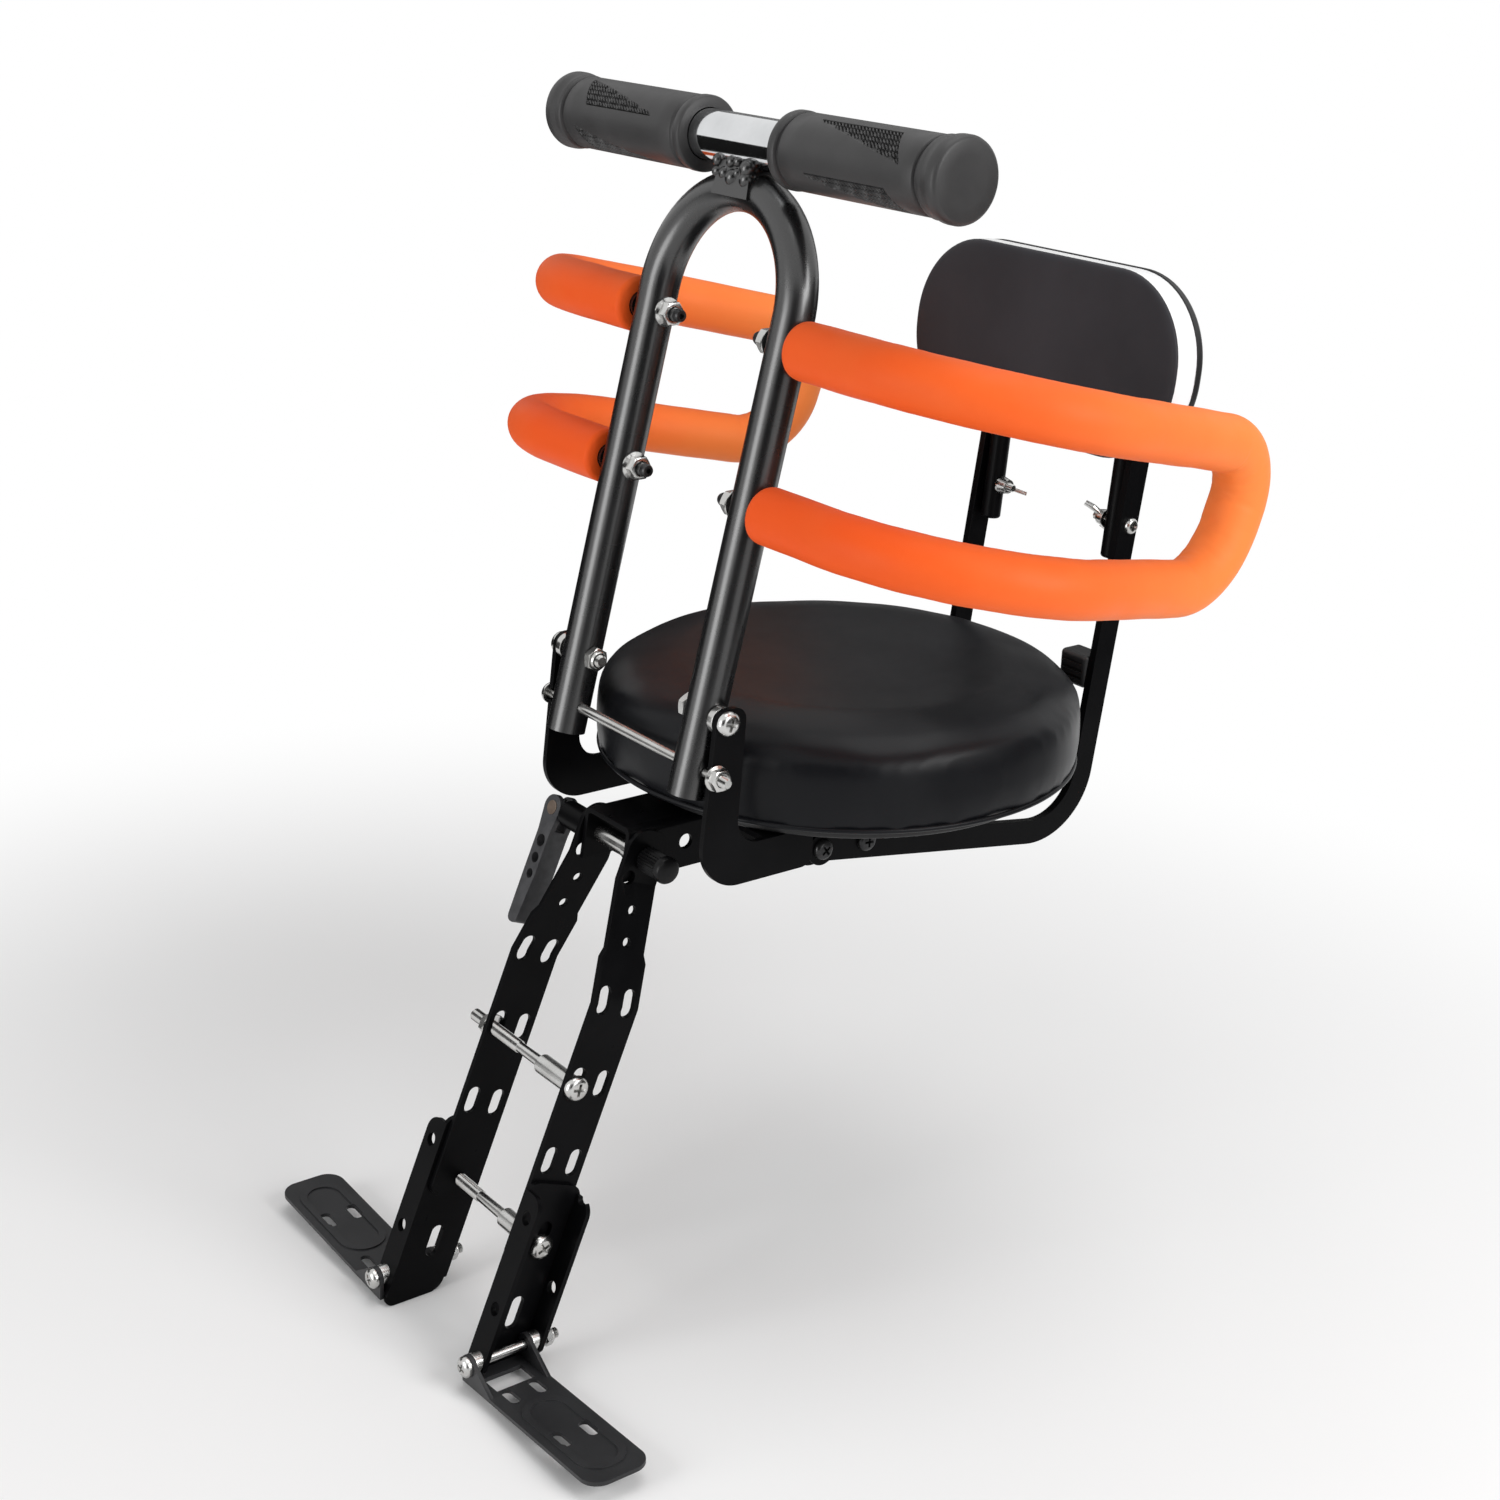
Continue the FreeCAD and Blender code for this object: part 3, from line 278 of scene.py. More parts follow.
@dataclass(frozen=True)
class Finish:
    """One surface finish, with its colours, gloss and grain.

    The two colours are the ends of a soft mottling, and the two roughness values those of its gloss.
    Sizes are in millimetres, and those of the wide relief are shares of the grain's.
    """

    name: str
    slot: Slot
    dark: Colour
    light: Colour
    rough: tuple[float, float]
    grain: Grain
    grain_size: float
    grain_depth: float
    mottle: float = 30.0
    metallic: float = 0.0
    specular: float = 0.5
    sheen: float = 0.0
    wide_size: float = 9.0
    wide_depth: float = 0.6

    def material(self) -> Material:
        """The finish's material, made on first use."""
        return bpy.data.materials.get(self.name) or self.build()

    def build(self) -> Material:
        """Makes the material.

        Returns:
            The new material.
        """
        nodes = Shading(self.name)
        nodes.set(Metallic=self.metallic, Specular_IOR_Level=self.specular)
        if self.sheen:
            nodes.set(Sheen_Weight=self.sheen, Sheen_Roughness=0.45)
        nodes.link(self.colour(nodes), nodes.shader.inputs["Base Color"])
        smear = nodes.noise(0.6 * self.mottle * MM, detail=6.0)
        nodes.link(nodes.span(smear, *self.rough), nodes.shader.inputs["Roughness"])
        nodes.link(self.relief(nodes), nodes.shader.inputs["Normal"])
        return nodes.material

    def colour(self, nodes: Shading) -> NodeSocket:
        """The mottled colour."""
        return nodes.ramp(nodes.noise(self.mottle * MM, detail=4.0), self.dark, self.light)

    def relief(self, nodes: Shading) -> NodeSocket:
        """The grain's relief, over a wider and shallower one.

        Args:
            nodes: The material's nodes.

        Returns:
            The normal.
        """
        size = self.grain_size * MM
        depth = self.grain_depth * MM
        wide = nodes.bump(nodes.noise(self.wide_size * size, detail=2.0), self.wide_depth * depth)
        if self.grain is Grain.LEATHER:
            return nodes.bump(nodes.cells(size, edges=True), depth, wide)
        if self.grain is Grain.PORES:
            return nodes.bump(nodes.cells(size, edges=False), depth, wide)
        if self.grain is Grain.TURNED:
            return nodes.bump(nodes.noise(size, detail=5.0, stretch=(0.2, 1.0, 1.0)), depth, wide)
        return nodes.bump(nodes.noise(size, detail=4.0), depth, wide)


def combine(tree: NodeTree, operation: str, first: NodeSocket, second: NodeSocket) -> NodeSocket:
    """Adds a calculation with two values.

    Args:
        tree: The node tree to add to.
        operation: The kind of calculation.
        first: The first value.
        second: The second value.

    Returns:
        The result.
    """
    node = tree.nodes.new("ShaderNodeMath")
    node.operation = operation
    tree.links.new(first, node.inputs[0])
    tree.links.new(second, node.inputs[1])
    return node.outputs[0]


def blend(tree: NodeTree, share: NodeSocket, parts: Sequence[NodeSocket], target: NodeSocket) -> None:
    """Mixes two shaders and joins the result to a socket.

    Args:
        tree: The node tree to add to.
        share: Share of the second shader.
        parts: The two shaders.
        target: The socket that takes the mix.
    """
    mixed = tree.nodes.new("ShaderNodeMixShader")
    for source, socket in zip((share, *parts), mixed.inputs):
        tree.links.new(source, socket)
    tree.links.new(mixed.outputs[0], target)


class PaleFloor:
    """Floor that shows the object's shadow and fades into white away from it."""

    NAME = "pale_floor"
    ALBEDO = 0.92
    FADE = (0.36, 0.85)

    def material(self) -> Material:
        """Makes the floor's material.

        Returns:
            The new material.
        """
        nodes = Shading(self.NAME)
        pale = (self.ALBEDO, self.ALBEDO, self.ALBEDO, 1.0)
        nodes.set(Base_Color=pale, Roughness=0.9, Specular_IOR_Level=0.1)
        reach = nodes.add("ShaderNodeVectorMath")
        reach.operation = "LENGTH"
        nodes.link(nodes.place, reach.inputs[0])
        fade = nodes.add("ShaderNodeMapRange", From_Min=self.FADE[0], From_Max=self.FADE[1])
        fade.interpolation_type = "SMOOTHSTEP"
        nodes.link(reach.outputs["Value"], fade.inputs["Value"])
        share = combine(nodes.tree, "MULTIPLY", fade.outputs["Result"], seen_directly(nodes.tree))
        white = nodes.add("ShaderNodeEmission", Color=WHITE, Strength=1.0)
        parts = (nodes.shader.outputs[0], white.outputs[0])
        blend(nodes.tree, share, parts, nodes.output.inputs["Surface"])
        return nodes.material


def seen_directly(tree: NodeTree) -> NodeSocket:
    """A value of 1 for camera, glossy and transmission rays, else 0.

    Args:
        tree: The node tree to add to.

    Returns:
        The value.
    """
    path = tree.nodes.new("ShaderNodeLightPath")
    value = path.outputs["Is Camera Ray"]
    for name in ("Is Glossy Ray", "Is Transmission Ray"):
        value = combine(tree, "MAXIMUM", value, path.outputs[name])
    return value


@dataclass(frozen=True)
class PaintedLightFinish(Finish):
    """A finish whose colour goes from the dark one at the front, painted shade, to the light one at the
    rear, painted light.
    """

    front: float = 20.0
    rear: float = 215.0
    stray: float = 0.07

    def colour(self, nodes: Shading) -> NodeSocket:
        """The colour along Y, painted shade at the front and painted light at the rear, with a little
        mottling.

        Args:
            nodes: The material's nodes.

        Returns:
            The colour.
        """
        parts = nodes.add("ShaderNodeSeparateXYZ")
        nodes.link(nodes.place, parts.inputs[0])
        along = nodes.add("ShaderNodeMapRange", From_Min=self.front * MM, From_Max=self.rear * MM)
        nodes.link(parts.outputs["Y"], along.inputs["Value"])
        cloud = nodes.span(nodes.noise(self.mottle * MM, detail=4.0), -self.stray, self.stray)
        # The fade along Y is painted light and shade, and the noise adds real mottling
        both = combine(nodes.tree, "ADD", along.outputs["Result"], cloud)
        return nodes.ramp(both, self.dark, self.light, span=(0.0, 1.0))


TUBE_COAT = Finish(
    "black_gloss_coat", Slot.BLACK_STEEL, (0.0028, 0.0028, 0.0031), (0.0045, 0.0045, 0.005), (0.26, 0.29),
    Grain.PEEL, 0.9, 0.003, specular=1.0)
SHEET_COAT = Finish(
    "black_powder_coat", Slot.BLACK_STEEL, (0.0022, 0.0022, 0.0025), (0.0036, 0.0036, 0.0041),
    (0.27, 0.38), Grain.PEEL, 0.9, 0.01, specular=0.055)
FOOTREST_COAT = Finish(
    "footrest_powder_coat", Slot.FOOTREST, (0.018, 0.0182, 0.0196), (0.026, 0.0263, 0.028), (0.36, 0.48),
    Grain.PEEL, 0.7, 0.016, specular=0.35)
ZINC = Finish(
    "bright_zinc", Slot.ZINC, (0.5, 0.495, 0.48), (0.62, 0.62, 0.61), (0.18, 0.28),
    Grain.TURNED, 0.5, 0.002, mottle=16.0, metallic=1.0)
BLACK_ZINC = Finish(
    "black_zinc", Slot.ZINC, (0.02, 0.02, 0.021), (0.045, 0.045, 0.046), (0.25, 0.4),
    Grain.TURNED, 0.35, 0.008, mottle=5.0, metallic=0.7)
CHROME = Finish(
    "polished_chrome", Slot.CHROME, (0.62, 0.63, 0.64), (0.70, 0.71, 0.72), (0.05, 0.11),
    Grain.TURNED, 0.6, 0.0012, mottle=22.0, metallic=1.0)
# The foam's colour is painted darker and redder at the front as shade, and lighter at the rear as light
FOAM_SKIN = PaintedLightFinish(
    "orange_foam_skin", Slot.FOAM, (0.84, 0.092, 0.008), (0.95, 0.25, 0.055), (0.5, 0.62),
    Grain.PORES, 0.42, 0.03, mottle=45.0, specular=0.2, sheen=0.02)
FOAM_CUT = Finish(
    "cut_orange_foam", Slot.FOAM, (0.58, 0.05, 0.01), (0.72, 0.08, 0.014), (0.8, 0.92),
    Grain.PORES, 0.6, 0.12, mottle=4.0, specular=0.2)
GRIP_RUBBER = Finish(
    "dark_moulded_rubber", Slot.GRIP, (0.032, 0.0315, 0.032), (0.039, 0.0385, 0.039), (0.4, 0.52),
    Grain.MATT, 0.35, 0.012, mottle=26.0, specular=0.35)
# Darker rubber for the faces deep in the grip's grooves, painted shade
GRIP_GROOVE_SHADE = Finish(
    "grip_groove", Slot.GRIP, (0.003, 0.003, 0.003), (0.006, 0.006, 0.006), (0.6, 0.75),
    Grain.MATT, 0.35, 0.02, mottle=9.0, specular=0.05)
CUSHION_LEATHER = Finish(
    "black_artificial_leather", Slot.CUSHION, (0.0045, 0.0048, 0.006), (0.0068, 0.0072, 0.0088),
    (0.32, 0.4), Grain.LEATHER, 1.1, 0.02, mottle=60.0, specular=0.15, sheen=0.01)
BACK_FACE = Finish(
    "charcoal_artificial_leather", Slot.BACKREST, (0.022, 0.0213, 0.0255), (0.029, 0.028, 0.033),
    (0.5, 0.6), Grain.LEATHER, 1.0, 0.02, mottle=50.0, specular=0.25, sheen=0.03)
BACK_BAND = Finish(
    "white_artificial_leather", Slot.BACKREST, (0.87, 0.87, 0.88), (0.91, 0.91, 0.91), (0.45, 0.55),
    Grain.LEATHER, 1.0, 0.025, mottle=35.0, specular=0.4)
SHELL_PLASTIC = Finish(
    "black_shell_plastic", Slot.SHELL, (0.010, 0.010, 0.011), (0.015, 0.015, 0.016), (0.38, 0.48),
    Grain.MATT, 0.6, 0.02, specular=0.4)
BOARD_PLASTIC = Finish(
    "black_board_plastic", Slot.BOARD, (0.008, 0.008, 0.0085), (0.013, 0.013, 0.0135), (0.42, 0.55),
    Grain.MATT, 0.7, 0.02, specular=0.4)
STRAP_PLASTIC = Finish(
    "black_strap_plastic", Slot.STRAP, (0.009, 0.009, 0.0098), (0.015, 0.015, 0.016), (0.36, 0.5),
    Grain.MATT, 0.5, 0.02, specular=0.42)
LEVER_ALLOY = Finish(
    "grey_cast_alloy", Slot.LEVER, (0.045, 0.045, 0.048), (0.07, 0.07, 0.074), (0.36, 0.52),
    Grain.PEEL, 0.5, 0.016, mottle=8.0, metallic=0.35)
THUMB_PLASTIC = Finish(
    "black_nut", Slot.THUMB_NUT, (0.004, 0.004, 0.0043), (0.007, 0.007, 0.0075), (0.24, 0.36),
    Grain.MATT, 0.5, 0.01, specular=0.15)
BRONZE = Finish(
    "bronze_pin", Slot.LEVER_PIN, (0.22, 0.165, 0.13), (0.30, 0.235, 0.19), (0.3, 0.42),
    Grain.TURNED, 0.4, 0.008, mottle=5.0, metallic=0.85)


def mesh_of(bm: BMesh, name: str = "template") -> Mesh:
    """The mesh of a shape.

    Args:
        bm: The shape, which is freed.
        name: The mesh's name.

    Returns:
        The new mesh.
    """
    mesh = bpy.data.meshes.new(name)
    bm.to_mesh(mesh)
    bm.free()
    return mesh


def add_object(name: str, data: bpy.types.ID) -> Object:
    """Adds an object to the scene.

    Args:
        name: The object's name.
        data: Its mesh, light or camera.

    Returns:
        The new object.
    """
    made = bpy.data.objects.new(name, data)
    bpy.context.scene.collection.objects.link(made)
    return made


def make_piece(name: str, bm: BMesh, finishes: Sequence[Finish], body: Body,
               smooth: float = 35.0) -> Object:
    """Turns a bmesh into a finished piece that rides on a body.

    Args:
        name: The piece's name.
        bm: Its mesh, which is freed.
        finishes: Finishes in the order of the faces' material numbers.
        body: The body it rides on.
        smooth: Angle in degrees past which an edge stays sharp.

    Returns:
        The new object.
    """
    mesh = mesh_of(bm, name)
    if "custom_normal" in mesh.attributes:
        mesh.attributes.remove(mesh.attributes["custom_normal"])
    return dress(name, mesh, finishes, body, smooth)


def dress(name: str, mesh: Mesh, finishes: Sequence[Finish], body: Body, smooth: float = 35.0) -> Object:
    """Links a mesh as a piece with its finishes, shading and body.

    Args:
        name: The piece's name.
        mesh: Its mesh.
        finishes: Finishes in the order of the faces' material numbers.
        body: The body it rides on.
        smooth: Angle in degrees past which an edge stays sharp.

    Returns:
        The new object.
    """
    mesh.materials.clear()
    for finish in finishes:
        mesh.materials.append(finish.material())
    mesh.shade_smooth()
    mesh.set_sharp_from_angle(angle=math.radians(smooth))
    made = add_object(name, mesh)
    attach(made, body.value)
    LOG.info("%s: %d faces", name, len(mesh.polygons))
    return made


def copy_of(node: str) -> BMesh:
    """A merged copy of a node's mesh.

    Args:
        node: The node's name.

    Returns:
        The copy, with one material number.
    """
    bm = bmesh.new()
    bm.from_mesh(frame["nodes"][node].data)
    bmesh.ops.remove_doubles(bm, verts=bm.verts[:], dist=WELD)
    for face in bm.faces:
        face.material_index = 0
    return bm


def solids_of(node: str) -> list[list[Vector]]:
    """The points of each separate solid in a node.

    Args:
        node: The node's name.

    Returns:
        One list of points for each solid, ordered along X, Y and Z.
    """
    bm = copy_of(node)
    bm.verts.index_update()
    todo = set(bm.verts)
    found = []
    while todo:
        reached = {todo.pop()}
        edge = list(reached)
        while edge:
            nearby = {e.other_vert(v) for v in edge for e in v.link_edges}
            edge = list(nearby - reached)
            reached |= nearby
        todo -= reached
        found.append([v.co.copy() for v in sorted(reached, key=lambda v: v.index)])
    bm.free()
    return sorted(found, key=lambda points: tuple(round(min(p[k] for p in points), 5) for k in range(3)))


def soften(bm: BMesh, width: float, sharp: float = 38.0) -> None:
    """Joins flat triangles and rounds the sharp edges.

    Args:
        bm: The mesh.
        width: Width of the rounding in millimetres.
        sharp: Angle in degrees past which an edge is rounded.
    """
    flat = math.radians(0.4)
    bmesh.ops.dissolve_limit(bm, angle_limit=flat, verts=bm.verts[:], edges=bm.edges[:])
    limit = math.radians(sharp)
    edges = [e for e in bm.edges if e.is_manifold and e.calc_face_angle(0.0) > limit]
    bmesh.ops.bevel(bm, geom=edges, offset=width * MM, offset_type="OFFSET", segments=2, profile=0.5,
                    affect="EDGES", clamp_overlap=True, material=-1)


def spin_outline(bm: BMesh, outline: Outline, steps: int, closed: bool = False) -> None:
    """Turns an outline of (radius, height) points in millimetres about the Z axis.

    Args:
        bm: The mesh to add to.
        outline: The points.
        steps: Number of steps round the axis.
        closed: True where the last point joins the first.
    """
    verts = [bm.verts.new((r * MM, 0.0, z * MM)) for r, z in outline]
    edges = [bm.edges.new(pair) for pair in zip(verts, verts[1:])]
    if closed:
        edges.append(bm.edges.new((verts[-1], verts[0])))
    bmesh.ops.spin(bm, geom=verts + edges, cent=(0, 0, 0), axis=(0, 0, 1), angle=math.tau, steps=steps,
                   use_merge=True, use_duplicate=False)
    bmesh.ops.remove_doubles(bm, verts=bm.verts[:], dist=WELD)
    bmesh.ops.recalc_face_normals(bm, faces=bm.faces[:])


def edges_of(verts: Sequence[BMVert]) -> list[BMEdge]:
    """The edges that meet at some points, each of them once."""
    return list(dict.fromkeys(edge for vert in verts for edge in vert.link_edges))


def loop_of(bm: BMesh, count: int, shape: Callable[[float], tuple[float, float]]) -> list[BMEdge]:
    """A closed loop about Z.

    Args:
        bm: The mesh to add to.
        count: Number of points.
        shape: Gives (radius, height) in millimetres at an angle.

    Returns:
        The loop's edges.
    """
    made = bmesh.ops.create_circle(bm, cap_ends=False, radius=1.0, segments=count)["verts"]
    for vert in made:
        angle = math.atan2(vert.co.y, vert.co.x)
        r, z = shape(angle)
        vert.co = Vector((r * math.cos(angle), r * math.sin(angle), z)) * MM
    return edges_of(made)


def skin(bm: BMesh, loops: Sequence[list[BMEdge]], closed: bool) -> None:
    """Bridges loops in order, and the last to the first where closed.

    Args:
        bm: The mesh that holds the loops.
        loops: The edges of each loop, in order.
        closed: True where the last loop joins the first.
    """
    pairs = list(zip(loops, loops[1:]))
    if closed:
        pairs.append((loops[-1], loops[0]))
    for a, b in pairs:
        bmesh.ops.bridge_loops(bm, edges=a + b)
    bmesh.ops.recalc_face_normals(bm, faces=bm.faces[:])


def place(group: BMesh, template: Mesh, matrix: Matrix) -> None:
    """Adds a copy of a template to a group at a place.

    Args:
        group: The mesh to add to.
        template: The mesh to copy.
        matrix: The copy's place.
    """
    start = len(group.verts)
    group.from_mesh(template)
    group.verts.ensure_lookup_table()
    bmesh.ops.transform(group, matrix=matrix, verts=group.verts[start:])


def facing(origin: Vector, direction: Vector, turn: float = 0.0) -> Matrix:
    """The matrix that sets +Z on a direction at a point, turned about it."""
    aim = direction.to_track_quat("Z", "Y").to_matrix().to_4x4()
    return Matrix.Translation(origin) @ aim @ Matrix.Rotation(turn, 4, "Z")


@dataclass(frozen=True)
class CadPart:
    """A rigid node that keeps its shape, with softened edges and a finish.

    Where the foot has a radius, edges shorter than sheet are taken as those across the sheet's thickness.
    """

    node: str
    finish: Finish
    body: Body = Body.FRAME
    edge: float = 0.35
    foot_r: float = 0.0
    foot_level: float = 0.3
    sheet: float = 4.0

    def build(self) -> Object:
        """Copies the node, rounds its edges and dresses it.

        Returns:
            The finished piece.
        """
        bm = copy_of(self.node)
        if self.foot_r:
            self.round_foot(bm)
        if self.edge:
            soften(bm, self.edge)
        made = make_piece(f"{self.node}_finished", bm, [self.finish], self.body)
        if self.edge:
            weights = made.modifiers.new("flat_faces", "WEIGHTED_NORMAL")
            weights.keep_sharp = True
        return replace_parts(made, self.node)

    def round_foot(self, bm: BMesh) -> None:
        """Rounds the two corners of the sheet's lowest edge.

        Args:
            bm: The copy of the node.
        """
        low = min(v.co.z for v in bm.verts) + self.foot_level * MM
        lowest = [e for e in bm.edges if all(v.co.z < low for v in e.verts)]
        ends = [e for e in lowest if e.calc_length() < self.sheet * MM]
        bmesh.ops.bevel(bm, geom=ends, offset=self.foot_r * MM, offset_type="OFFSET", segments=8,
                        profile=0.5, affect="EDGES", clamp_overlap=True, material=-1)


@dataclass(frozen=True)
class Spindle:
    """A round solid measured about its axis, in metres."""

    foot: Vector
    axis: Vector
    length: float
    head_r: float
    head_h: float
    shank_r: float
    corner: float

    @classmethod
    def measure(cls, points: Sequence[Vector], axis: Vector) -> "Spindle":
        """Measures a solid whose wide end is its head.

        Args:
            points: The solid's points.
            axis: Its axis, either way round.

        Returns:
            The measures, with the axis towards the head and the foot at the other end.
        """
        low = Vector(min(p[k] for p in points) for k in range(3))
        high = Vector(max(p[k] for p in points) for k in range(3))
        middle = (low + high) / 2
        along = [(p - middle).dot(axis) for p in points]
        out = [((p - middle) - t * axis).length for p, t in zip(points, along)]
        widest = max(out)
        # The head is where the solid is nearly as wide as anywhere
        head = [t for t, r in zip(along, out) if r > 0.9 * widest]
        if sum(head) < 0:
            axis = -axis
            along = [-t for t in along]
        length = max(along) - min(along)
        # The shank is measured in the quarter at the foot, and the collar is clearly wider
        shank = max(r for t, r in zip(along, out) if t < min(along) + 0.25 * length)
        wide = [t for t, r in zip(along, out) if r > 1.2 * shank]
        collar = min(wide, default=max(along))
        far = points[out.index(widest)] - middle
        aim = axis.to_track_quat("Z", "Y").inverted() @ far
        return cls(middle + min(along) * axis, axis, length, widest, max(along) - collar, shank,
                   math.atan2(aim.y, aim.x))

    def end(self, way: Vector) -> Vector:
        """The middle of the end that a direction along the axis points to."""
        return self.foot + self.length / 2 * (self.axis + way)


@dataclass(frozen=True)
class PanScrew:
    """Pan-head screw with a cross recess and a thread, built along +Z with its tip at 0."""

    head_r: float
    head_h: float
    shank_r: float
    length: float
    thread: float
    steps: int = 24

    def template(self) -> Mesh:
        """Builds the screw's mesh.

        Returns:
            The mesh.
        """
        bm = bmesh.new()
        seat = self.length - self.head_h
        r, h = self.head_r, self.head_h
        dome = [(r, seat), (r, seat + 0.34 * h), (0.95 * r, seat + 0.6 * h), (0.8 * r, seat + 0.86 * h),
                (0.62 * r, self.length)]
        spin_outline(bm, [(0.0, 0.0), *self.threaded(), (self.shank_r, seat), *dome], self.steps)
        self.recess(bm)
        bmesh.ops.recalc_face_normals(bm, faces=bm.faces[:])
        return mesh_of(bm)

    def threaded(self) -> list[tuple[float, float]]:
        """The crests and roots of the thread, from the tip.

        Returns:
            Radius and height of each point, in millimetres.
        """
        pitch = 0.34 * self.shank_r
        root = self.shank_r - 0.5 * pitch
        turns = int(self.thread / pitch)
        points = [(root - 0.25 * pitch, 0.0)]
        for k in range(turns):
            points.append((root, (k + 0.25) * pitch))
            points.append((self.shank_r, (k + 0.75) * pitch))
        points.append((root, (turns + 0.25) * pitch))
        return points

    def recess(self, bm: BMesh) -> None:
        """Closes the head with a cross recess.

        Args:
            bm: The screw, open at the top of its head.
        """
        arm, half = 0.52 * self.head_r, 0.12 * self.head_r
        quarter = [(arm, -half), (arm, half), (half, half)]
        corners = [Matrix.Rotation(k * math.pi / 2, 2) @ Vector(p) for k in range(4) for p in quarter]
        points = []
        for a, b in zip(corners, corners[1:] + corners[:1]):
            points += [a, (a + b) / 2]
        verts = [bm.verts.new((p.x * MM, p.y * MM, self.length * MM)) for p in points]
        cross = bm.faces.new(verts)
        rim = [e for e in bm.edges if e.is_boundary and e not in cross.edges]
        bmesh.ops.bridge_loops(bm, edges=rim + list(cross.edges))
        sunk = bmesh.ops.extrude_discrete_faces(bm, faces=[cross])["faces"][0]
        narrow = Matrix.Diagonal((0.55, 0.55, 1.0, 1.0))
        down = Matrix.Translation((0, 0, -0.62 * self.head_h * MM)) @ narrow
        bmesh.ops.transform(bm, matrix=down, verts=sunk.verts[:])


@dataclass(frozen=True)
class HexNut:
    """Hexagon nut with chamfers, and a flange or a locking collar, along +Z from its seat at 0."""

    flats: float
    height: float
    hole_r: float
    flange_r: float = 0.0
    collar: float = 0.0
    points: int = 24
    chamfer: float = 30.0
    bevel: float = 0.45
    flange_edge: float = 0.2

    def template(self) -> Mesh:
        """Builds the nut's mesh.

        Returns:
            The mesh.
        """
        bm = bmesh.new()
        inner = 0.475 * self.flats
        top = self.height - self.collar
        foot = 0.28 * self.height if self.flange_r else 0.0
        loops = [self.circle(bm, self.hole_r, 0.0)]
        if self.flange_r:
            loops.append(self.circle(bm, self.flange_r - self.flange_edge, 0.0))
            loops.append(self.circle(bm, self.flange_r, self.flange_edge))
            loops.append(self.circle(bm, self.flange_r, 0.14 * self.height))
        else:
            loops.append(self.circle(bm, inner, 0.0))
        loops.append(self.hexagon(bm, inner, foot, 1.0 if not self.flange_r else 0.0))
        loops.append(self.hexagon(bm, inner, top, -1.0))
        loops.append(self.circle(bm, inner, top))
        if self.collar:
            loops.append(self.circle(bm, 0.42 * self.flats, top))
            loops.append(self.circle(bm, 0.42 * self.flats, top + 0.45 * self.collar))
            loops.append(self.circle(bm, 0.37 * self.flats, self.height))
        loops.append(self.circle(bm, self.hole_r + self.bevel, self.height))
        loops.append(self.circle(bm, self.hole_r, self.height - self.bevel))
        skin(bm, loops, closed=True)
        return mesh_of(bm)

    def circle(self, bm: BMesh, radius: float, height: float) -> list[BMEdge]:
        """A round loop of the nut."""
        return loop_of(bm, self.points, lambda angle: (radius, height))

    def hexagon(self, bm: BMesh, inner: float, height: float, slope: float) -> list[BMEdge]:
        """A hexagonal loop, chamfered up or down at its corners.

        Args:
            bm: The mesh to add to.
            inner: Radius at which the chamfer starts.
            height: The loop's height.
            slope: 1 where the corners rise, -1 where they drop, 0 for no chamfer.

        Returns:
            The loop's edges.
        """
        def shape(angle: float) -> tuple[float, float]:
            """The loop at an angle.

            Args:
                angle: The angle about the axis.

            Returns:
                Radius and height.
            """
            within = (angle % (math.pi / 3)) - math.pi / 6
            r = self.flats / 2 / math.cos(within)
            return r, height + slope * (r - inner) * math.tan(math.radians(self.chamfer))

        return loop_of(bm, self.points, shape)


@dataclass(frozen=True)
class ScrewGroup:
    """All screws of one node, made again with recess and thread where the node has them."""

    node: str
    axis: tuple[float, float, float]
    thread: float = 14.0
    finish: Finish = ZINC
    body: Body = Body.FRAME
    plain: float = 1.0
    first_turn: float = 0.4
    next_turn: float = 0.9

    def build(self) -> Object:
        """Measures the node's screws and makes them.

        Returns:
            The finished piece.
        """
        bm = bmesh.new()
        for count, points in enumerate(solids_of(self.node)):
            found = Spindle.measure(points, Vector(self.axis))
            length = found.length / MM
            head = found.head_h / MM
            screw = PanScrew(found.head_r / MM, head, found.shank_r / MM, length,
                             min(self.thread, length - head - self.plain))
            turn = self.first_turn + self.next_turn * count
            place(bm, screw.template(), facing(found.foot, found.axis, turn))
        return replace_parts(make_piece(f"{self.node}_threaded", bm, [self.finish], self.body), self.node)


@dataclass(frozen=True)
class NutGroup:
    """All nuts of one node, made again with chamfers, and each with its seat towards its neighbour."""

    node: str
    flats: float
    hole_r: float
    outward: Callable[[Vector], Vector]
    flange_r: float = 0.0
    collar: float = 0.0
    body: Body = Body.FRAME

    def build(self) -> Object:
        """Measures the node's nuts and makes them.

        Returns:
            The finished piece.
        """
        bm = bmesh.new()
        for points in solids_of(self.node):
            axis = self.outward(sum(points, Vector()) / len(points))
            found = Spindle.measure(points, axis)
            nut = HexNut(self.flats, found.length / MM, self.hole_r, self.flange_r, self.collar)
            turn = 0.0 if self.flange_r else found.corner
            place(bm, nut.template(), facing(found.end(-axis), axis, turn))
        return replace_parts(make_piece(f"{self.node}_cut", bm, [ZINC], self.body), self.node)


def away_from_middle(point: Vector) -> Vector:
    """The X direction that points away from the object's middle plane."""
    return Vector((math.copysign(1.0, point.x), 0, 0))


def towards_middle(point: Vector) -> Vector:
    """The X direction that points to the object's middle plane."""
    return -away_from_middle(point)


def rightward(point: Vector) -> Vector:
    """The direction to the bicycle's right."""
    return Vector((-1, 0, 0))


def leftward(point: Vector) -> Vector:
    """The direction to the bicycle's left."""
    return Vector((1, 0, 0))


def rearward(point: Vector) -> Vector:
    """The direction to the bicycle's rear."""
    return Vector((0, 1, 0))


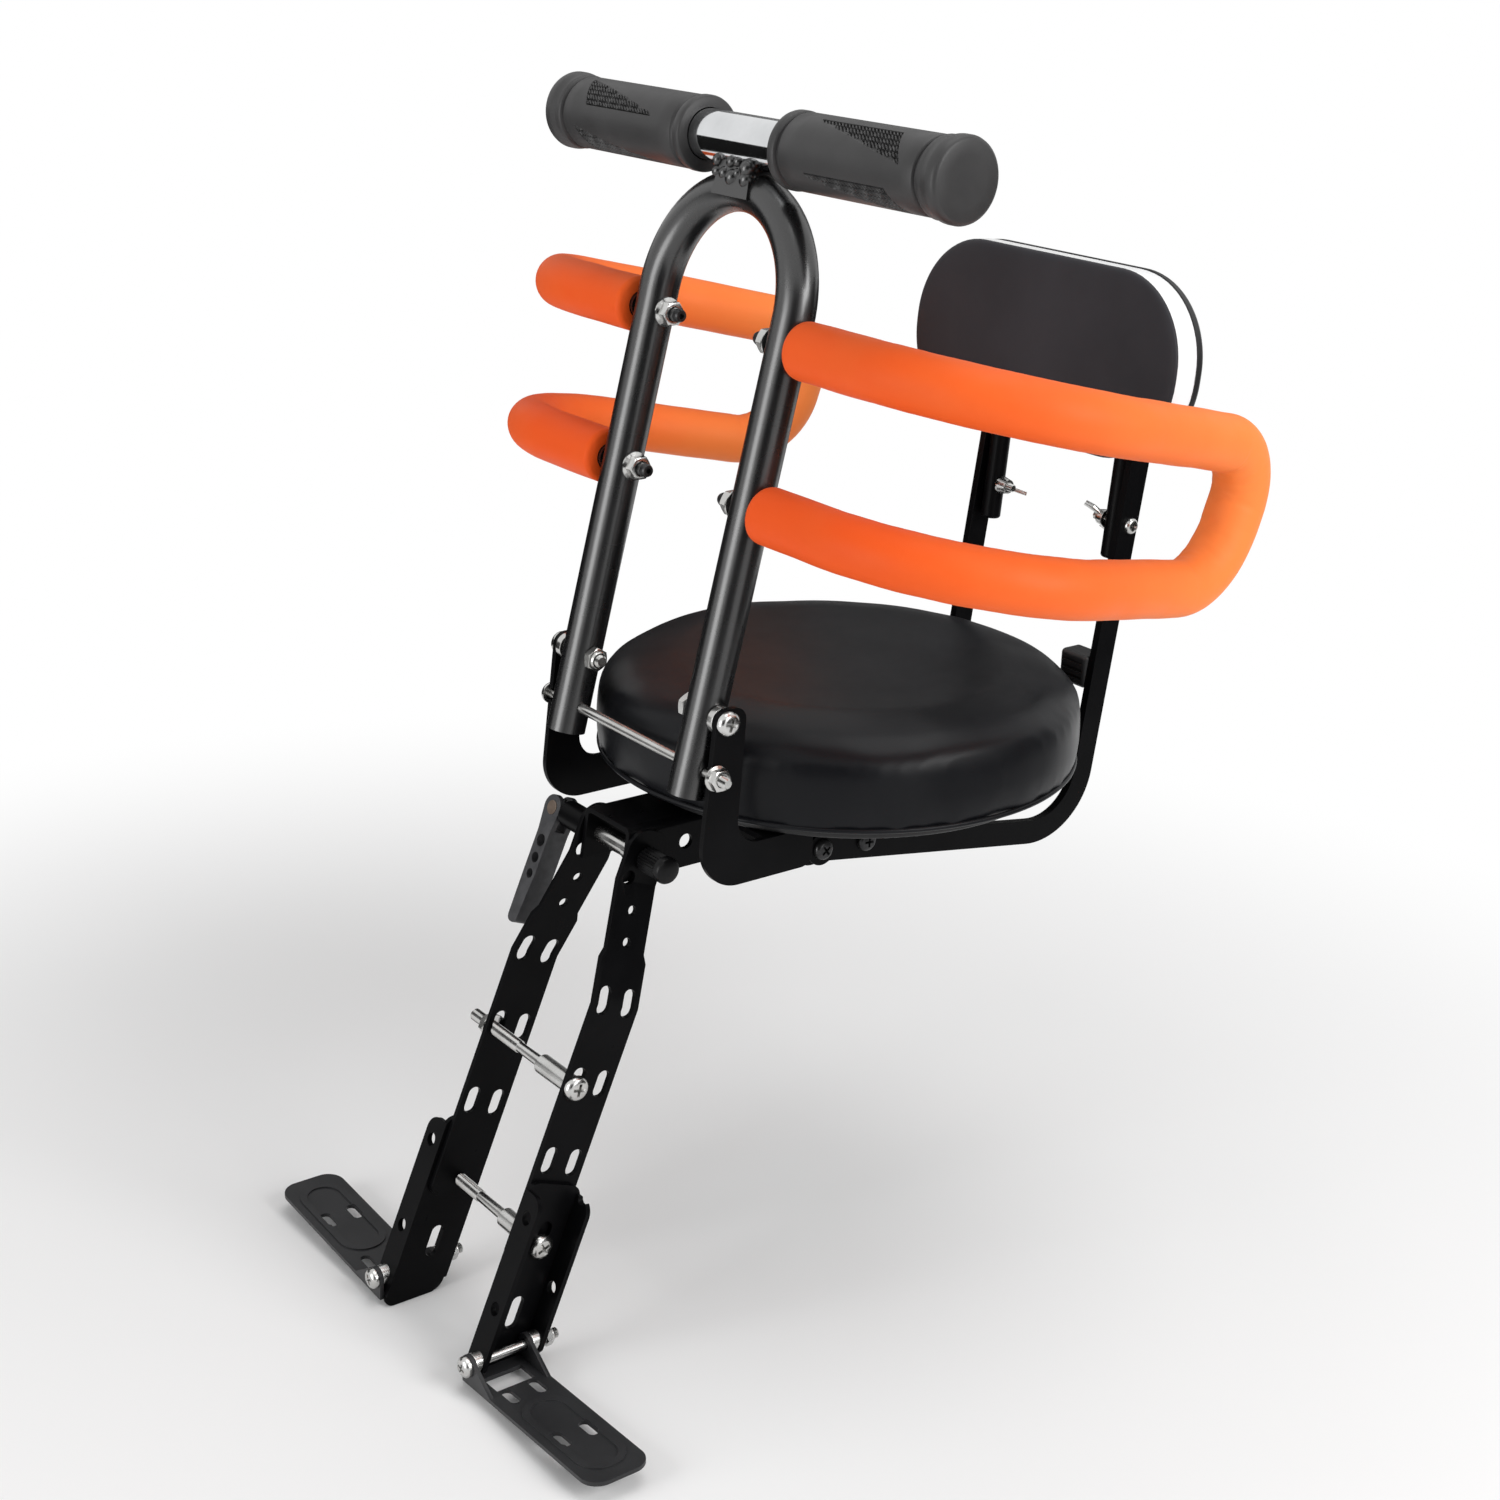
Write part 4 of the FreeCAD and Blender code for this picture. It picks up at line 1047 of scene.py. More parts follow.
@dataclass(frozen=True)
class WingNuts:
    """The wing nuts of the backrest, each turned as it happens to be tightened."""

    node: str = "wing_nuts"
    edge: float = 0.25
    turns: tuple[float, ...] = (152.0, 139.0)

    def build(self) -> Object:
        """Copies the node, turns each nut about its axis and dresses it.

        Returns:
            The finished piece.
        """
        bm = copy_of(self.node)
        soften(bm, self.edge)
        for sign, turn in zip((-1.0, 1.0), self.turns):
            nut = [v for v in bm.verts if v.co.x * sign > 0]
            centre = sum((v.co for v in nut), Vector()) / len(nut)
            far = max(nut, key=lambda v: math.hypot(v.co.y - centre.y, v.co.z - centre.z)).co - centre
            angle = math.radians(turn) - math.atan2(far.z, far.y)
            bmesh.ops.rotate(bm, cent=centre, matrix=Matrix.Rotation(angle, 3, "X"), verts=nut)
        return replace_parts(make_piece(f"{self.node}_turned", bm, [ZINC], Body.FRAME), self.node)


@dataclass(frozen=True)
class ThumbNut:
    """Fluted adjusting nut of the quick release, with a plain cap."""

    node: str = "qr_nut"
    flutes: int = 24
    flute_depth: float = 0.8
    hole_r: float = 2.7
    foot_r: float = 4.8
    barrel_r: float = 6.0
    cap_r: float = 6.3
    cap: float = 4.0

    def build(self) -> Object:
        """Builds the nut along the skewer's axis.

        Returns:
            The finished piece.
        """
        low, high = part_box(self.node)
        length = (high.x - low.x) / MM
        bm = bmesh.new()
        skin(bm, [self.loop(bm, *row) for row in self.rows(length)], closed=False)
        holes = [e for e in bm.edges if e.is_boundary and e.verts[0].co.z > 0.5 * length * MM]
        bmesh.ops.holes_fill(bm, edges=holes, sides=0)
        bmesh.ops.recalc_face_normals(bm, faces=bm.faces[:])
        middle = (low + high) / 2
        seat = Vector((low.x, middle.y, middle.z))
        bmesh.ops.transform(bm, matrix=facing(seat, Vector((1, 0, 0))), verts=bm.verts[:])
        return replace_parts(make_piece("qr_nut_fluted", bm, [THUMB_PLASTIC], Body.FRAME), self.node)

    def rows(self, length: float) -> list[tuple[float, float, float]]:
        """The nut's profile from its foot to its cap.

        Args:
            length: The nut's length in millimetres.

        Returns:
            Radius, height and depth of the flutes of each loop.
        """
        neck = length - self.cap
        foot, barrel, cap, deep = self.foot_r, self.barrel_r, self.cap_r, self.flute_depth
        return [
            (self.hole_r, 0.0, 0.0), (foot, 0.0, 0.0), (foot, 1.0, 0.0), (barrel, 1.4, deep),
            (barrel, neck - 0.8, deep), (barrel - 0.7, neck - 0.4, 0.0), (cap - 0.3, neck, 0.0),
            (cap, neck + 0.4, 0.0), (cap, length - 1.5, 0.0), (cap - 0.5, length - 0.5, 0.0),
            (cap - 1.5, length, 0.0), (0.8, length, 0.0)]

    def loop(self, bm: BMesh, r: float, z: float, deep: float) -> list[BMEdge]:
        """One loop of the nut, with flutes where their depth isn't 0."""
        return loop_of(bm, 4 * self.flutes,
                       lambda angle: (r - deep * (0.5 - 0.5 * math.cos(self.flutes * angle)), z))


@dataclass(frozen=True)
class Ring:
    """One ring of a swept tube."""

    along: float
    centre: Vector
    forward: Vector
    inward: Vector
    verts: list[BMVert]


@dataclass
class BentTube:
    """A ring swept along straight runs that are joined by tangent arcs, with all lengths in metres.

    The corners of the path have one arc radius each, apart from the first and the last. The step is the
    longest one along the path. A bend with the radius full_bend counts as 1, and a tighter one as more.
    """

    points: Sequence[Vector]
    radii: Sequence[float]
    radius: float
    sides: int
    step: float
    full_bend: float = 10.0 * MM
    bm: BMesh = field(default_factory=bmesh.new)
    rings: list[Ring] = field(default_factory=list)
    edges: list[BMEdge] = field(default_factory=list)

    def sweep(self) -> BMesh:
        """Sweeps the ring along the whole path.

        Returns:
            The open tube.
        """
        heading = (self.points[1] - self.points[0]).normalized()
        self.start(heading)
        at = self.points[0]
        for corner, after, radius in zip(self.points[1:-1], self.points[2:], self.radii):
            leaving = (after - corner).normalized()
            turn = heading.angle(leaving)
            cut = radius * math.tan(turn / 2)
            self.run((corner - heading * cut) - at, heading)
            axis = heading.cross(leaving).normalized()
            self.arc(axis, turn, radius, heading)
            at = corner + leaving * cut
            heading = leaving
        self.run(self.points[-1] - at, heading)
        return self.bm

    def start(self, heading: Vector) -> None:
        """Makes the first ring.

        Args:
            heading: Direction of the first run.
        """
        matrix = facing(self.points[0], heading)
        verts = bmesh.ops.create_circle(self.bm, cap_ends=False, radius=self.radius, segments=self.sides,
                                        matrix=matrix)["verts"]
        self.edges = edges_of(verts)
        self.rings.append(Ring(0.0, self.points[0].copy(), heading, Vector(), verts))

    def grow(self, length: float, move: Matrix, inward: Vector) -> None:
        """Extrudes the last ring by one step.

        Args:
            length: Length of the step.
            move: Takes the last ring to the new one.
            inward: Direction to the middle of the bend, longer where it is tight, or zero.
        """
        made = bmesh.ops.extrude_edge_only(self.bm, edges=self.edges)["geom"]
        verts = [g for g in made if isinstance(g, BMVert)]
        fresh = set(verts)
        self.edges = [g for g in made if isinstance(g, BMEdge) and fresh.issuperset(g.verts)]
        bmesh.ops.transform(self.bm, matrix=move, verts=verts)
        last = self.rings[-1]
        heading = (move.to_3x3() @ last.forward).normalized()
        self.rings.append(Ring(last.along + length, move @ last.centre, heading, inward, verts))

    def run(self, way: Vector, heading: Vector) -> None:
        """Adds a straight run.

        Args:
            way: The way to the end of the run.
            heading: The run's direction.
        """
        length = way.dot(heading)
        steps = max(1, math.ceil(length / self.step))
        for _ in range(steps):
            self.grow(length / steps, Matrix.Translation(heading * (length / steps)), Vector())

    def arc(self, axis: Vector, turn: float, radius: float, heading: Vector) -> None:
        """Adds a tangent arc.

        Args:
            axis: Axis of the bend.
            turn: Its angle.
            radius: Its radius.
            heading: Direction at its start.
        """
        steps = max(4, math.ceil(radius * turn / self.step))
        centre = self.rings[-1].centre + axis.cross(heading) * radius
        turning = Matrix.Rotation(turn / steps, 4, axis)
        move = Matrix.Translation(centre) @ turning @ Matrix.Translation(-centre)
        for _ in range(steps):
            inward = (centre - move @ self.rings[-1].centre).normalized() * (self.full_bend / radius)
            self.grow(radius * turn / steps, move, inward)


def round_points(x: float, y: float, r: float, count: int) -> list[tuple[float, float]]:
    """The points of a small circle round the point (x, y)."""
    angles = (k * math.tau / count for k in range(count))
    return [(x + r * math.cos(a), y + r * math.sin(a)) for a in angles]


def loop_frame() -> Matrix:
    """The place of the handle loop's own frame, which has its origin on the hinge and leans back."""
    pivot = next(j for j in frame["joints"] if j["name"] == "handle_fold")["pos_m"]
    return Matrix.Translation(pivot) @ Matrix.Rotation(math.radians(-LOOP_LEAN), 4, "X")


@dataclass(frozen=True)
class GuardFoam:
    """Foam sleeve of one side guard, in the frame of the handle loop."""

    side: Side
    start_x: float = 59.0
    high: float = 159.2
    low: float = 89.6
    corner_x: float = 188.0
    rear_x: float = 152.5
    rear_high: tuple[float, float] = (182.0, 160.2)
    rear_low: tuple[float, float] = (175.0, 96.6)
    bends: tuple[float, float, float, float] = (70.0, 24.0, 34.0, 70.0)
    radius: float = 12.5
    bore: float = 6.3
    bore_depth: float = 9.0
    edge: float = 2.0
    swell: float = 0.22
    swell_density: float = 55.0
    crease: float = 0.8
    crease_density: float = 170.0
    step: float = 1.2
    sides: int = 44

    def path(self) -> list[Vector]:
        """Corners of the sleeve's centre line, in metres.

        Returns:
            The corners, from the upper end to the lower one.
        """
        loop = loop_frame()
        corners = [
            (self.start_x, 0.0, self.high), (self.corner_x, 0.0, self.high), (self.rear_x, *self.rear_high),
            (self.rear_x, *self.rear_low), (self.corner_x, 0.0, self.low), (self.start_x, 0.0, self.low)]
        return [loop @ (Vector((self.side.value * x, y, z)) * MM) for x, y, z in corners]

    def build(self) -> Object:
        """Sweeps the sleeve, folds it at the bends and closes its ends.

        Returns:
            The finished piece.
        """
        bends = [r * MM for r in self.bends]
        tube = BentTube(self.path(), bends, self.radius * MM, self.sides, self.step * MM)
        bm = tube.sweep()
        for ring in tube.rings:
            self.fold(ring, tube.rings[-1].along)
        self.close(bm, tube.rings[0], 1.0)
        self.close(bm, tube.rings[-1], -1.0)
        bmesh.ops.recalc_face_normals(bm, faces=bm.faces[:])
        node = f"guard_foam_{self.side.word}"
        made = make_piece(f"{node}_sleeve", bm, [FOAM_SKIN, FOAM_CUT], Body.HANDLE, smooth=50.0)
        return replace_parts(made, node)

    def fold(self, ring: Ring, length: float) -> None:
        """Wrinkles one ring on the inside of its bend, and rounds it near the ends.

        Args:
            ring: The ring.
            length: The sleeve's length.
        """
        end = min(ring.along, length - ring.along)
        edge = self.edge * MM
        drop = edge - math.sqrt(max(0.0, edge**2 - max(0.0, edge - end) ** 2))
        tight = ring.inward.length
        for vert in ring.verts:
            out = (vert.co - ring.centre).normalized()
            soft = noise.noise(vert.co * self.swell_density) * self.swell * MM
            crease = 0.0
            if tight:
                within = max(0.0, out.dot(ring.inward.normalized()) + 0.6)
                fine = noise.noise(Vector((ring.along * self.crease_density, out.x * 1.4, out.z * 1.4)))
                crease = -within * tight * (1.0 - abs(fine)) ** 3 * self.crease * MM
            vert.co = ring.centre + out * ((vert.co - ring.centre).length - drop + soft + crease)

    def close(self, bm: BMesh, ring: Ring, way: float) -> None:
        """Closes an end with a cut face round the rod's bore.

        Args:
            bm: The sleeve.
            ring: The ring at that end.
            way: 1 at the sleeve's start and -1 at its end.
        """
        edges = [e for e in edges_of(ring.verts) if e.is_boundary]
        for depth in (0.0, self.bore_depth):
            made = bmesh.ops.extrude_edge_only(bm, edges=edges)["geom"]
            verts = [g for g in made if isinstance(g, BMVert)]
            edges = [g for g in made if isinstance(g, BMEdge) and g.is_boundary]
            for face in (g for g in made if isinstance(g, bmesh.types.BMFace)):
                face.material_index = 1
            for vert in verts:
                out = vert.co - ring.centre
                out -= out.dot(ring.forward) * ring.forward
                vert.co = ring.centre + out.normalized() * self.bore * MM + ring.forward * way * depth * MM


@dataclass(frozen=True)
class Grip:
    """Rubber grip with a collar, a flange and wedge-shaped ribbed panels."""

    side: Side
    inner: float = 31.0
    outer: float = 136.0
    radius: float = 16.0
    bore: float = 11.3
    bore_depth: float = 6.0
    collar: float = 5.0
    groove: float = 1.2
    flange: float = 12.0
    flange_r: float = 17.3
    panels: int = 4
    first_panel: float = -69.0
    panel_end: float = 104.0
    panel_len: float = 55.0
    panel_rise: float = 15.0
    slant: float = 0.6
    rows: int = 6
    rib_pitch: float = 2.1
    rib_depth: float = 1.25
    row_gap: float = 0.38
    end_gap: float = 0.5
    facet: float = 0.5
    steps: int = 260
    station: float = 0.4

    def outline(self) -> list[tuple[float, float]]:
        """The profile from the bore at the inner end to the closed outer end.

        Returns:
            Radius and height of each point, in millimetres.
        """
        r = self.radius
        root = r - self.groove
        barrel = self.inner + self.collar + 1.6
        neck = self.outer - self.flange
        points = [
            (self.bore, self.inner), (r - 0.5, self.inner), (r + 0.2, self.inner + 0.5),
            (r + 0.4, self.inner + 1.2), (r + 0.4, barrel - 2.6), (r, barrel - 1.9), (root, barrel - 1.5),
            (root, barrel + 0.1), (r - 0.35, barrel + 0.6), (r, barrel + 1.2)]
        start = self.panel_end - self.panel_len - 1.0
        count = int((self.panel_len + self.slant * self.panel_rise + 2.0) / self.station)
        points += [(r, start + k * self.station) for k in range(count + 1)]
        points += [
            (r, neck - 3.2), (r - 0.3, neck - 2.6), (root, neck - 2.2), (root, neck - 0.7),
            (r - 0.1, neck - 0.2), (r + 0.5, neck + 0.6), (r + 0.35, neck + 2.2), (r + 0.55, neck + 4.2),
            (self.flange_r - 0.1, neck + 6.0), (self.flange_r, neck + 7.0),
            (self.flange_r, self.outer - 2.2), (self.flange_r - 0.35, self.outer - 1.2),
            (self.flange_r - 1.1, self.outer - 0.4), (self.flange_r - 2.0, self.outer),
            (0.6 * r, self.outer), (0.0, self.outer)]
        return points

    def build(self) -> Object:
        """Turns the grip, presses its panels in and sets it on the handlebar.

        Returns:
            The finished piece.
        """
        bm = bmesh.new()
        spin_outline(bm, self.outline(), self.steps)
        inside = [e for e in bm.edges if e.is_boundary]
        made = bmesh.ops.extrude_edge_only(bm, edges=inside)["geom"]
        for vert in (g for g in made if isinstance(g, BMVert)):
            vert.co.z += self.bore_depth * MM
        for vert in bm.verts:
            self.press(vert)
        self.shade_grooves(bm)
        bmesh.ops.recalc_face_normals(bm, faces=bm.faces[:])
        low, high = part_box("handlebar")
        centre = (low + high) / 2
        # Local X turns to the front, local Y down and local Z to the left
        aim = Matrix(((0, 0, 1), (-1, 0, 0), (0, -1, 0))).to_4x4()
        if self.side is Side.RIGHT:
            aim = Matrix.Rotation(math.pi, 4, "Z") @ aim
        bmesh.ops.transform(bm, matrix=Matrix.Translation(centre) @ aim, verts=bm.verts[:])
        node = f"grip_{self.side.word}"
        piece = make_piece(f"{node}_moulded", bm, [GRIP_RUBBER, GRIP_GROOVE_SHADE], Body.HANDLE, smooth=60.0)
        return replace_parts(piece, node)

    def press(self, vert: BMVert) -> None:
        """Moves one point of the barrel in where a panel is.

        Args:
            vert: The point, in the grip's own frame.
        """
        r = math.hypot(vert.co.x, vert.co.y) / MM
        if abs(r - self.radius) > 0.01:
            return
        down = math.degrees(math.atan2(vert.co.y, vert.co.x))
        share = 360.0 / self.panels
        drop = math.radians((down - self.first_panel) % share) * self.radius
        depth = self.relief(self.panel_end - vert.co.z / MM, drop)
        if depth:
            factor = (r - depth) / r
            vert.co.x *= factor
            vert.co.y *= factor

    def shade_grooves(self, bm: BMesh) -> None:
        """Gives the faces deep in the grooves a darker finish, which is painted shade.

        Args:
            bm: The grip.
        """
        least = self.bore + 1.0
        for face in bm.faces:
            middle = face.calc_center_median()
            r = math.hypot(middle.x, middle.y) / MM
            within = self.inner + 2.0 < middle.z / MM < self.outer - self.flange + 1.0
            if within and least < r < self.radius - 0.55 * self.groove:
                # Faces deep in a groove get the darker finish as painted shade
                face.material_index = 1

    def relief(self, run: float, drop: float) -> float:
        """How deep the surface lies in a panel.

        Args:
            run: Distance from the panel's tall end towards its point, in millimetres.
            drop: Distance below the panel's straight edge.

        Returns:
            The depth in millimetres, 0 outside the panel.
        """
        run += self.slant * drop
        tall = self.panel_rise * (1.0 - run / self.panel_len)
        if not (0.0 <= run <= self.panel_len and 0.0 <= drop <= tall):
            return 0.0
        row_h = self.panel_rise / self.rows
        row = int(drop / row_h)
        within = drop - row * row_h
        if (row + 1) * row_h > tall + 0.4 * row_h:
            return self.facet * self.rib_depth * drop / self.panel_rise
        if within < self.row_gap or run < self.end_gap:
            return self.rib_depth
        phase = (run + 0.5 * within) / self.rib_pitch
        return self.rib_depth * min(1.0, max(0.0, 0.2 + 1.1 * math.sin(math.tau * phase)))


@dataclass(frozen=True)
class Stuffing:
    """Cloth simulation that blows a closed cover up.

    The voxel and the cap on the moves are in millimetres. The moves are evened out in as many passes as
    calm says, and fold is the share of them that stays as the cloth gave it. The cover is smoothed in as
    many passes as level says.
    """

    voxel: float = 4.0
    pressure: float = 4.0
    frames: int = 20
    cap: float = 6.0
    calm: int = 60
    fold: float = 0.1
    level: int = 3

    def puff(self, cover: BMesh, pinned: Callable[[Vector], bool]) -> Mesh:
        """Remeshes a cover, simulates it, smooths it and subdivides it.

        Args:
            cover: The start shape, which is freed.
            pinned: Says whether a point is held.

        Returns:
            The finished mesh.
        """
        holder = add_object("cover", mesh_of(cover))
        if self.voxel:
            remesh = holder.modifiers.new("remesh", "REMESH")
            remesh.mode = "VOXEL"
            remesh.voxel_size = self.voxel * MM
            holder.data = self.evaluated(holder)
        self.simulate(holder, pinned)
        self.smooth_steps(holder.data, pinned)
        smooth = holder.modifiers.new("smooth", "SUBSURF")
        smooth.levels = 1
        smooth.render_levels = 1
        mesh = self.evaluated(holder)
        bpy.data.objects.remove(holder)
        return mesh

    def smooth_steps(self, mesh: Mesh, pinned: Callable[[Vector], bool]) -> None:
        """Smooths the small steps of a cover where it isn't held.

        Args:
            mesh: The cover.
            pinned: Says whether a point is held.
        """
        bm = bmesh.new()
        bm.from_mesh(mesh)
        free = [v for v in bm.verts if not pinned(v.co)]
        for _ in range(self.level):
            bmesh.ops.smooth_vert(bm, verts=free, factor=0.5, use_axis_x=True, use_axis_y=True,
                                  use_axis_z=True)
        bm.to_mesh(mesh)
        bm.free()

    def evaluated(self, holder: Object) -> Mesh:
        """The object's mesh with its modifiers applied, which are then removed.

        Args:
            holder: The object.

        Returns:
            The new mesh.
        """
        graph = bpy.context.evaluated_depsgraph_get()
        mesh = bpy.data.meshes.new_from_object(holder.evaluated_get(graph))
        holder.modifiers.clear()
        return mesh

    def simulate(self, holder: Object, pinned: Callable[[Vector], bool]) -> None:
        """Runs the cloth, evens its moves out and keeps them within the cap.

        Args:
            holder: The cover's object.
            pinned: Says whether a point is held.
        """
        rest = [v.co.copy() for v in holder.data.vertices]
        firm = [k for k, co in enumerate(rest) if pinned(co)]
        held = holder.vertex_groups.new(name="held")
        held.add(firm, 1.0, "REPLACE")
        cloth = holder.modifiers.new("cloth", "CLOTH")
        cloth.settings.vertex_group_mass = held.name
        cloth.settings.use_pressure = True
        cloth.settings.uniform_pressure_force = self.pressure
        cloth.settings.effector_weights.gravity = 0.0
        scene = bpy.context.scene
        for count in range(1, self.frames + 1):
            scene.frame_set(count)
        graph = bpy.context.evaluated_depsgraph_get()
        blown = [v.co.copy() for v in holder.evaluated_get(graph).data.vertices]
        holder.modifiers.remove(cloth)
        scene.frame_set(1)
        moves = numpy.array([end - start for start, end in zip(rest, blown)])
        moves = (1.0 - self.fold) * self.spread(holder.data, moves, firm) + self.fold * moves
        reach = numpy.linalg.norm(moves, axis=1, keepdims=True)
        moves *= numpy.minimum(1.0, self.cap * MM / numpy.maximum(reach, 1e-9))
        for vert, start, move in zip(holder.data.vertices, rest, moves):
            vert.co = start + Vector(move)

    def spread(self, mesh: Mesh, moves: numpy.ndarray, firm: Sequence[int]) -> numpy.ndarray:
        """Evens the moves out between neighbours.

        Args:
            mesh: The cover.
            moves: One move for each point.
            firm: Points that don't move.

        Returns:
            The evened moves.
        """
        ends = numpy.array([edge.vertices[:] for edge in mesh.edges])
        count = numpy.bincount(ends.ravel(), minlength=len(moves))[:, None]
        for _ in range(self.calm):
            around = numpy.zeros_like(moves)
            numpy.add.at(around, ends[:, 0], moves[ends[:, 1]])
            numpy.add.at(around, ends[:, 1], moves[ends[:, 0]])
            moves = 0.5 * moves + 0.5 * around / count
            moves[firm] = 0.0
        return moves


@dataclass(frozen=True)
class Cushion:
    """Round seat cushion in artificial leather, with a piping bead round its foot."""

    shrink: float = 3.0
    shoulder: float = 20.0
    crown: float = -3.0
    foot: float = 1.0
    held: float = 1.2
    bead_r: float = 1.2
    bead_inset: float = 1.4
    pleats: int = 46
    pleat_depth: float = 0.5
    pleat_reach: float = 13.0
    steps: int = 96
    bead_steps: int = 160
    stuffing: Stuffing = Stuffing(voxel=4.0, pressure=4.0, cap=5.0, fold=0.12)

    def build(self) -> list[Object]:
        """Blows the cover up and adds its piping.

        Returns:
            The cover and the piping.
        """
        low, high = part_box("cushion")
        centre = Vector(((low.x + high.x) / 2, (low.y + high.y) / 2, low.z))
        radius = (high.x - low.x) / 2 / MM
        height = (high.z - low.z) / MM
        cover = bmesh.new()
        spin_outline(cover, self.outline(radius - self.shrink, height - self.shrink), self.steps)
        mesh = self.stuffing.puff(cover, lambda co: co.z < self.held * MM)
        widest = max(math.hypot(v.co.x, v.co.y) for v in mesh.vertices)
        tallest = max(v.co.z for v in mesh.vertices)
        wider = radius * MM / widest
        taller = height * MM / tallest
        mesh.transform(Matrix.Diagonal((wider, wider, taller, 1.0)))
        for vert in mesh.vertices:
            self.gather(vert, radius)
            vert.co += centre
        made = dress("cushion_cover", mesh, [CUSHION_LEATHER], Body.FRAME, smooth=80.0)
        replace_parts(made, "cushion")
        return [made, self.piping(centre, radius)]

    def outline(self, radius: float, height: float) -> list[tuple[float, float]]:
        """Profile of the start shape, from the middle of its foot to the middle of its top.

        Args:
            radius: The shape's radius.
            height: Its height in the middle.

        Returns:
            Radius and height of each point, in millimetres.
        """
        points = [(0.0, 0.0), (radius - self.foot, 0.0), (radius, 0.35 * height)]
        for k in range(9):
            angle = k / 8 * math.pi / 2
            out = radius - self.shoulder * (1.0 - math.cos(angle))
            points.append((out, height - self.crown - self.shoulder * 0.72 * (1.0 - math.sin(angle))))
        points.append((0.5 * radius, height - 0.3 * self.crown))
        points.append((0.0, height))
        return points

    def gather(self, vert: bpy.types.MeshVertex, radius: float) -> None:
        """Adds the small pleats above the foot.

        Args:
            vert: A point of the cover.
            radius: The cushion's radius.
        """
        co = vert.co
        out = math.hypot(co.x, co.y)
        near = max(0.0, 1.0 - abs(co.z) / (self.pleat_reach * MM))
        if out > 0.8 * radius * MM and near > 0.0:
            angle = math.atan2(co.y, co.x)
            wave = noise.noise(Vector((math.cos(angle), math.sin(angle), 0.0)) * self.pleats / 4.0)
            pull = self.pleat_depth * MM * near * (0.5 + wave)
            co.x -= pull * co.x / out
            co.y -= pull * co.y / out

    def piping(self, centre: Vector, radius: float) -> Object:
        """The bead that is sewn round the foot.

        Args:
            centre: Middle of the cushion's foot.
            radius: The cushion's radius.

        Returns:
            The finished piece.
        """
        bm = bmesh.new()
        ring = round_points(radius - self.bead_inset, self.bead_r, self.bead_r, 12)
        spin_outline(bm, ring, self.bead_steps, closed=True)
        bmesh.ops.translate(bm, vec=centre, verts=bm.verts[:])
        return make_piece("cushion_piping", bm, [CUSHION_LEATHER], Body.FRAME, smooth=80.0)


